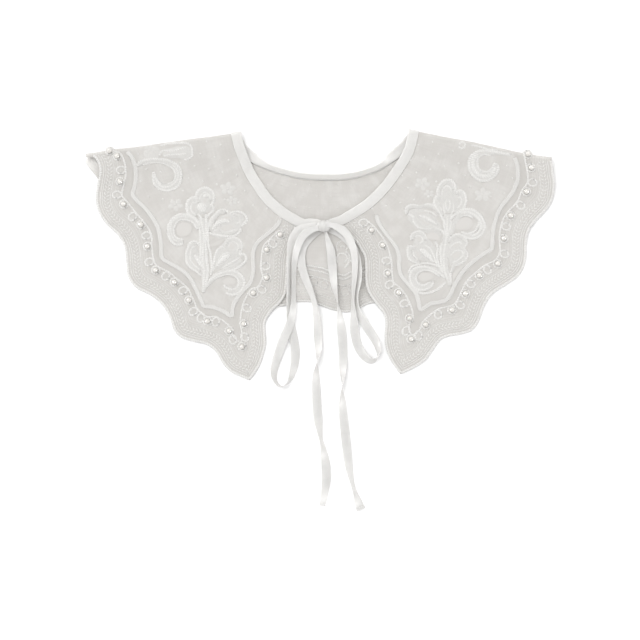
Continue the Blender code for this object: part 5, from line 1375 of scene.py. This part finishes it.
# Neck binding, one folded bias strip that lies beside the neck edge
LEFT_END = [(-15.6, 29.3, 2.9, 0.95), (-9.4, 30.2, 3.6, 0.85), (-3.2, 30.0, 4.6, 0.72),
            (2.6, 28.6, 5.0, 0.6)]
RIGHT_END = [(20.6, 32.6, 2.9, 0.95), (15.0, 31.2, 3.6, 0.85), (10.4, 30.0, 4.6, 0.7),
             (5.0, 28.6, 5.0, 0.6)]
END_WIDTHS = [(0.10, 0.99, 0.0), (0.05, 1.0, 0.0), (0.0, 1.0, 0.0), (0.0, 1.0, 0.0)]


def binding_front(part, table, side):
    """Centres and width directions from the fold to the front end."""
    edge = moved_start(even(catmull(table), CAD_FRONT_STATIONS), part["fold_in"][0])
    v = np.zeros(len(edge))
    z = height_of(edge, part["across"], part["fold_in"][0], v, back_outline) + BINDING_RISE
    out = neck_side(edge) * side
    centres = np.concatenate(
        [edge + out * (SEAM_GAP + BINDING_HALF_WIDTH), z[:, None]], axis=1)
    return centres, np.concatenate([out, np.zeros((len(out), 1))], axis=1)


def binding_arc(top, bottom, across, axis_dir):
    """Half turn of the binding around the shoulder fold."""
    centres, widths = [], []
    middle = (top[2] + bottom[2]) / 2
    rise = (top[2] - bottom[2]) / 2
    for k in range(1, 6):
        angle = math.pi / 2 - math.pi * k / 6
        share = k / 6
        base = top[:2] * (1 - share) + bottom[:2] * share
        place = base - across * (FOLD_RADIUS + BINDING_RISE) * math.cos(angle)
        centres.append([place[0], place[1], middle + rise * math.sin(angle)])
        widths.append([axis_dir[0], axis_dir[1], 0.0])
    return centres, widths


def binding_path():
    edge, _, left_in, right_in, _ = back_part(CAD_BACK_STATIONS, 8, 3)
    side = neck_side(edge)
    span = run_length(edge)
    from_end = np.minimum(span, span[-1] - span)
    lean = np.radians(BINDING_LEAN) * smooth((from_end - LEAN_STARTS) / LEAN_GROWS)
    reach = BINDING_HALF_WIDTH * np.cos(lean) + BINDING_HALF_THICK * np.sin(lean)
    rise = BINDING_FLOOR_GAP + BINDING_HALF_WIDTH * np.sin(lean) + BINDING_HALF_THICK * np.cos(lean)
    bc = np.concatenate([edge + side * (SEAM_GAP + reach)[:, None], rise[:, None]], axis=1)
    bw = np.concatenate([side * np.cos(lean)[:, None], np.sin(lean)[:, None]], axis=1)
    lc, lw = binding_front(left, LEFT_NECK, 1.0)
    rc, rw = binding_front(right, RIGHT_NECK, -1.0)
    left_axis = unit(left["fold"][0] - left["fold"][-1])
    right_axis = unit(right["fold"][0] - right["fold"][-1])
    for centres, dirs, axis_dir, start in ((lc, lw, left_axis, left_in[0]),
                                           (rc, rw, right_axis, right_in[0])):
        for i in range(BINDING_TURNS_OVER):
            share = i / BINDING_TURNS_OVER
            dirs[i, :2] = unit(axis_dir * (1 - share) + dirs[i, :2] * share)
        centres[0, :2] = start + axis_dir * (SEAM_GAP + BINDING_HALF_WIDTH)
    beside = SEAM_GAP + BINDING_TURN_GAP + BINDING_HALF_WIDTH
    for i in range(BINDING_TURNS_OVER):
        share = i / BINDING_TURNS_OVER
        for at, axis_dir in ((i, left_axis), (-1 - i, right_axis)):
            bw[at, :2] = unit(axis_dir * (1 - share) + bw[at, :2] * share)
            bc[at, :2] = edge[at] + bw[at, :2] * beside
    bc[0, :2] = left_in[0] + left_axis * (SEAM_GAP + BINDING_HALF_WIDTH)
    bc[-1, :2] = right_in[0] + right_axis * (SEAM_GAP + BINDING_HALF_WIDTH)
    la_c, la_w = binding_arc(lc[0], bc[0], left["across"], left_axis)
    ra_c, ra_w = binding_arc(rc[0], bc[-1], right["across"], right_axis)
    mirrored = [(-w[0], w[1], w[2]) for w in END_WIDTHS]
    path = [p[:3] for p in LEFT_END[::-1]]
    dirs = list(END_WIDTHS[::-1])
    shares = [p[3] for p in LEFT_END[::-1]]
    for points, widths in ((lc[4:-4:2][::-1], lw[4:-4:2][::-1]), (lc[:1], lw[:1]), (la_c, la_w),
                           (bc[:6], bw[:6]), (bc[7:-7:2], bw[7:-7:2]), (bc[-6:], bw[-6:]),
                           (ra_c[::-1], ra_w[::-1]), (rc[:1], rw[:1]),
                           (rc[4:-4:2], rw[4:-4:2])):
        path += [tuple(p) for p in points]
        dirs += [tuple(w) for w in widths]
        shares += [1.0] * len(points)
    path += [p[:3] for p in RIGHT_END]
    dirs += mirrored
    shares += [p[3] for p in RIGHT_END]
    return np.array(path, float), np.array(dirs, float), np.array(shares, float)


BAND_SECTION = ((-1, -0.2), (-0.96, -0.75), (-0.86, -1), (0, -1), (0.86, -1), (0.96, -0.75),
                (1, -0.2), (1, 0.3), (0.96, 0.8), (0.86, 1), (0.4, 0.9), (0, 0.86), (-0.4, 0.9),
                (-0.86, 1), (-0.96, 0.8), (-1, 0.3))


def swept(path, dirs, half, thick, section):
    """Rings of a flat band along a path, with their texture places."""
    tangent = np.gradient(path, axis=0)
    along = run_length(path)
    points, uvs = [], []
    for i, p in enumerate(path):
        t = unit(tangent[i])
        w = unit(dirs[i] - t * np.dot(dirs[i], t))
        up = np.cross(t, w)
        for a, b in section:
            points.append(p + w * a * half[i] + up * b * thick)
            uvs.append((along[i], a * half[i]))
    k = len(section)
    faces = []
    for i in range(len(path) - 1):
        for j in range(k):
            q = (j + 1) % k
            faces.append((i * k + j, i * k + q, (i + 1) * k + q, (i + 1) * k + j))
    faces.append(tuple(range(k - 1, -1, -1)))
    faces.append(tuple((len(path) - 1) * k + j for j in range(k)))
    return points, faces, uvs


def volume_sign(points, faces):
    pts = np.asarray(points, float)
    total = 0.0
    for face in faces:
        for i in range(1, len(face) - 1):
            total += np.dot(pts[face[0]], np.cross(pts[face[i]], pts[face[i + 1]]))
    return total


def outward(points, faces):
    if volume_sign(points, faces) < 0:
        return [tuple(reversed(face)) for face in faces]
    return faces


def mark(obj, name, shares):
    """A share for each point of a band, which its material reads."""
    made = obj.data.attributes.new(name, "FLOAT", "POINT")
    made.data.foreach_set("value", np.asarray(shares, np.float32).ravel())


band_path, band_dirs, band_shares = binding_path()
fine = catmull(np.concatenate([band_path, band_dirs, band_shares[:, None]], axis=1), 3)
flatness = np.clip(1 - 1.6 * np.abs(fine[:, 5]), 0, 1)
cover = SEAM_COVER * flatness
band_points, band_faces, band_uvs = swept(
    fine[:, :3] - fine[:, 3:6] * (cover / 2)[:, None], fine[:, 3:6],
    BINDING_HALF_WIDTH * fine[:, 6] + cover / 2, BINDING_HALF_THICK, BAND_SECTION)
binding = make_object("bound_neck", band_points, outward(band_points, band_faces), band_uvs,
                      BINDING, 50)
# Painted light: the binding's colour is paler where it leans up, a quarter of that where it lies flat
mark(binding, "painted_light_share", np.repeat(0.25 + 0.75 * np.abs(fine[:, 5]), len(BAND_SECTION)))
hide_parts("neck_binding")

# Seam ridge beside the back's neck edge
seam_pile = Pile()
strip_on(seam_pile, resample(back_neck[10:-10] + neck_side(back_neck)[10:-10] * 0.15, 2.0), 0.75, 0.5,
         on_back, THIN_DOME)
seam = seam_pile.build("neck_seam", RIBBON, "satin_ribbon")

# Knot: one soft pleated lump round the crossing
KNOT_HALF = (6.8, 5.3, 3.9)


def knot_points(around, rings):
    points = []
    for i in range(rings + 1):
        polar = math.pi * i / rings
        x = math.cos(polar)
        pleat = 1 + 0.055 * math.cos(9.0 * x) * math.sin(polar)
        for j in range(around):
            a = 2 * math.pi * j / around
            points.append((KNOT_CENTRE[0] - KNOT_HALF[0] * x,
                           KNOT_CENTRE[1] + KNOT_HALF[1] * math.sin(polar) ** 0.6 * math.sin(a) * pleat,
                           KNOT_CENTRE[2] + KNOT_HALF[2] * math.sin(polar) ** 0.6 * math.cos(a) * pleat))
    return points


knot_mesh = knot_points(36, 30)
knot_faces = []
for i in range(30):
    for j in range(36):
        k = (j + 1) % 36
        knot_faces.append((i * 36 + j, i * 36 + k, (i + 1) * 36 + k, (i + 1) * 36 + j))
knot = make_object("bow_knot", knot_mesh, outward(knot_mesh, knot_faces),
                   [(p[0], p[1]) for p in knot_mesh], RIBBON)
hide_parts("tie_knot")


# Ribbons, on the same course as their solids
def node_tree_mm(name):
    """Search tree of a CAD node in working millimetres."""
    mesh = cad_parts[name].data
    points = [tuple(np.array(vertex.co) * 1000 - SHIFT) for vertex in mesh.vertices]
    return BVHTree.FromPolygons(points, [tuple(p.vertices) for p in mesh.polygons])


ground_trees = [node_tree_mm("collar_cloth"), node_tree_mm("neck_binding")]


def top_at(x, y):
    best = 0.0
    for tree in ground_trees:
        hit = tree.ray_cast(Vector((x, y, RAY_HEIGHT)), Vector((0, 0, -1)))
        if hit[0] is not None:
            best = max(best, hit[0].z)
    return best


CUPPED = ((-1.0, -0.1), (-0.97, -0.8), (-0.6, -1.1), (-0.2, -1.3), (0.2, -1.3), (0.6, -1.1),
          (0.97, -0.8), (1.0, -0.1), (0.97, 0.8), (0.6, 0.7), (0.2, 0.5), (-0.2, 0.5), (-0.6, 0.7),
          (-0.97, 0.8))

# Painted light and shade on the ribbon: paler on the lower strand and in its hollow over the cloth, darker
# where it stands on edge past the cloth's end
LOWER_STRAND_PAINTED_LIGHT = 0.55
LOWER_STRAND_TURNED = 100
HOLLOW_PAINTED_LIGHT_SHARE = 0.3
CLOTH_ENDS_AT = -75.0
CLOTH_END_FADE = 20.0


def ribbon(name, table):
    dense = catmull(np.array(table, float))
    length = np.linalg.norm(np.diff(dense[:, :2], axis=0), axis=1).sum()
    line = even(dense, max(8, int(round(length / RIBBON_STEP))))
    xy, added, roll, share = line[:, :2], line[:, 2], np.radians(line[:, 3]), line[:, 4]
    run = np.gradient(xy, axis=0)
    run = run / np.linalg.norm(run, axis=1)[:, None]
    side = neck_side(xy)
    half = RIBBON_WIDTH / 2 * share
    under = np.zeros(len(line))
    for i in range(len(line)):
        reach = half[i] * abs(math.cos(roll[i])) + LOOK_ASIDE
        for k in np.linspace(-1, 1, 5):
            for m in (-LOOK_ALONG, 0.0, LOOK_ALONG):
                q = xy[i] + side[i] * reach * k + run[i] * m
                under[i] = max(under[i], top_at(q[0], q[1]))
    wide = np.array([under[max(0, i - 2):i + 3].max() for i in range(len(under))])
    for _ in range(3):
        wide = np.maximum(wide, np.convolve(np.pad(wide, 2, mode="edge"), np.ones(5) / 5, "valid"))
    z = (wide + RIBBON_GAP + half * np.abs(np.sin(roll)) + RIBBON_THICK / 2 * np.abs(np.cos(roll))
         + np.maximum(added, 0))
    table3 = np.concatenate([xy, z[:, None], roll[:, None], half[:, None]], axis=1)
    fine_line = catmull(table3, 3)
    centre, roll, half = fine_line[:, :3], fine_line[:, 3], fine_line[:, 4]
    forward = np.gradient(centre, axis=0)
    flat = np.stack([-forward[:, 1], forward[:, 0], np.zeros(len(centre))], axis=1)
    flat = flat / np.linalg.norm(flat, axis=1)[:, None]
    dirs = []
    for t, s, a in zip(forward, flat, roll):
        up = np.cross(unit(t), s)
        dirs.append(s * math.cos(a) + up * math.sin(a))
    points, faces, uvs = swept(centre, np.array(dirs), half, RIBBON_SHOWN_THICK / 2, CUPPED)
    obj = make_object(f"ribbon_{name}", points, outward(points, faces), uvs, BINDING,
                      50)
    over_cloth = np.clip((centre[:, 1] - CLOTH_ENDS_AT) / CLOTH_END_FADE, 0, 1)
    lower_strand = (np.abs(roll) > math.radians(LOWER_STRAND_TURNED)) * over_cloth
    heights = np.asarray(points)[:, 2].reshape(-1, len(CUPPED))
    tops = heights.max(axis=1, keepdims=True)
    depth = (tops - heights) / np.maximum(tops - heights.min(axis=1, keepdims=True), 1.0)
    # Painted light: paler colour on the lower strand of a loop over the cloth
    mark(obj, "painted_light_share", np.repeat(LOWER_STRAND_PAINTED_LIGHT * lower_strand, len(CUPPED)))
    # Painted shade: darker colour where the ribbon stands on edge past the cloth's end
    mark(obj, "turned", np.repeat(np.abs(np.sin(roll)) * (1 - over_cloth), len(CUPPED)))
    # Painted light: paler colour in the ribbon's cupped hollow over the cloth
    mark(obj, "hollow_painted_light", HOLLOW_PAINTED_LIGHT_SHARE * depth * over_cloth[:, None])
    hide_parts(name)
    steps = np.linalg.norm(np.diff(centre, axis=0), axis=1).sum()
    return obj, centre, 0.001 * steps, np.array(dirs)


def tail_end(name, centre, dirs, half):
    """The turned and stitched end of a tail, as two thin bars across it."""
    pile = Pile()
    forward = unit(centre[-1] - centre[-3])
    for back, height in ((0.4, 0.42), (2.6, 0.32)):
        middle = centre[-1] - forward * back
        width = dirs[-1] * half
        up = np.cross(forward, unit(dirs[-1]))
        points = []
        for end in (-1, 1):
            for a, b in ((-0.35, -1), (0.35, -1), (0.35, 1), (-0.35, 1)):
                points.append(middle + width * end + forward * a + up * b * height)
        faces = [(0, 1, 2, 3), (7, 6, 5, 4), (0, 4, 5, 1), (1, 5, 6, 2), (2, 6, 7, 3), (3, 7, 4, 0)]
        pile.add(points, outward(points, faces), [(p[0], p[1]) for p in points])
    return pile.build(name, SATIN_THREAD, "satin_thread", 30)


# Where each ribbon comes out of the knot, and where each loop goes back in
INTO_KNOT = {"tail_right": ([(4.6, 24.6, 0.0, 64, 0.5)], []),
             "tail_left": ([(2.8, 24.0, 0.0, 0, 0.55)], []),
             "loop_left": ([(1.6, 26.2, 4.6, -6, 0.62)], [(2.4, 27.6, 0.0, -180, 0.5)]),
             "loop_right": ([(5.6, 27.4, 3.0, 4, 0.6)], [(4.6, 24.6, 0.0, 180, 0.45)])}
for name, table, far_end in (("tail_right", RIGHT_TAIL, "bare"), ("tail_left", LEFT_TAIL, "bare"),
                             ("loop_left", LEFT_LOOP, "object"),
                             ("loop_right", RIGHT_LOOP, "object")):
    starts, ends = INTO_KNOT[name]
    table = starts + [p[:4] + (max(p[4], 0.62),) for p in table] + ends
    obj, centre, length, dirs = ribbon(name, table)
    extra = []
    if far_end == "bare":
        extra = [tail_end(f"stitched_end_{name}", centre, dirs, RIBBON_WIDTH / 2 * table[-1][4])]

# Pearls
pearl_pile = Pile()
pearl_names = [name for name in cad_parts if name.startswith("pearl_")]
PEARL_SHOWN = 2.45
PEARL_SINKS = 0.15


def pearl_bead(centre):
    points = [(centre[0], centre[1], centre[2] + PEARL_SHOWN)]
    rings, around = 12, 20
    for i in range(1, rings):
        polar = math.pi * i / rings
        for j in range(around):
            a = 2 * math.pi * j / around
            points.append((centre[0] + PEARL_SHOWN * math.sin(polar) * math.cos(a),
                           centre[1] + PEARL_SHOWN * math.sin(polar) * math.sin(a),
                           centre[2] + PEARL_SHOWN * math.cos(polar)))
    points.append((centre[0], centre[1], centre[2] - PEARL_SHOWN))
    faces = []
    last = 1 + (rings - 2) * around
    for j in range(around):
        k = (j + 1) % around
        faces.append((0, 1 + j, 1 + k))
        faces.append((last + k, last + j, len(points) - 1))
        for i in range(rings - 2):
            a = 1 + i * around
            faces.append((a + j, a + around + j, a + around + k, a + k))
    return points, faces, [(p[0], p[1]) for p in points]


for name in pearl_names:
    low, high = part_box(name)
    centre = 500 * (np.array(low) + np.array(high)) - SHIFT
    centre[2] -= PEARL_SINKS
    pearl_pile.add(*pearl_bead(centre))
pearls = pearl_pile.build("pearls", PEARL, "pearl")
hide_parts(*pearl_names)


# The cut: the panel laid out flat, each front turned back over its fold
def turned_over(points, fold, across):
    shift = (points - fold[0]) @ across
    return points - 2 * shift[:, None] * across


flat_points = [back_cols.reshape(-1, 3)[:, :2]]
for part in (left, right):
    flat_points.append(turned_over(part["grid"].reshape(-1, 3)[:, :2], part["fold"], part["across"]))
flat_points = np.concatenate(flat_points)
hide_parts("collar_cloth")

# Stage: white ground, soft light from the upper left, camera straight above
floor_mesh = bpy.data.meshes.new("white_ground")
floor_mesh.from_pydata([(-2, -2, -0.0005), (2, -2, -0.0005), (2, 2, -0.0005), (-2, 2, -0.0005)],
                       [], [(0, 1, 2, 3)])
floor_mesh.materials.append(new_material("white_ground", (0.98, 0.98, 0.98), 0.9))
floor = bpy.data.objects.new("white_ground", floor_mesh)
bpy.context.scene.collection.objects.link(floor)

world = bpy.data.worlds.new("soft_white")
world.use_nodes = True
world.node_tree.nodes["Background"].inputs["Color"].default_value = (1.0, 1.0, 1.0, 1)
world.node_tree.nodes["Background"].inputs["Strength"].default_value = 0.94
bpy.context.scene.world = world

sun_data = bpy.data.lights.new("window", "SUN")
sun_data.energy = 1.25
sun_data.angle = math.radians(40)
sun = bpy.data.objects.new("window", sun_data)
sun.rotation_euler = (math.radians(-24), math.radians(-22), 0)
bpy.context.scene.collection.objects.link(sun)

camera_data = bpy.data.cameras.new("camera")
camera_data.sensor_width = 36.0
camera_data.lens = 36.0 * CAMERA_HEIGHT / (0.001 * PIXEL * PHOTO_SIDE)
camera_data.dof.use_dof = False
camera = bpy.data.objects.new("camera", camera_data)
camera.location = (0.001 * (LOOK_AT_MM[0] + SHIFT[0]), 0.001 * (LOOK_AT_MM[1] + SHIFT[1]),
                   CAMERA_HEIGHT)
bpy.context.scene.collection.objects.link(camera)
bpy.context.scene.camera = camera
bpy.context.scene.view_settings.view_transform = "Standard"

# Two small glints that only glossy surfaces show
glints = []
for number, (tilt, turn) in enumerate(GLINTS):
    data = bpy.data.lights.new(f"glint_{number}", "SUN")
    data.energy = GLINT_STRENGTH
    data.angle = math.radians(GLINT_SPREAD)
    glint = bpy.data.objects.new(f"glint_{number}", data)
    glint.rotation_euler = (math.radians(tilt), math.radians(turn), 0)
    glint.visible_diffuse = False
    bpy.context.scene.collection.objects.link(glint)
    glints.append(glint)

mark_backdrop(floor, sun, *glints)
low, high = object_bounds()
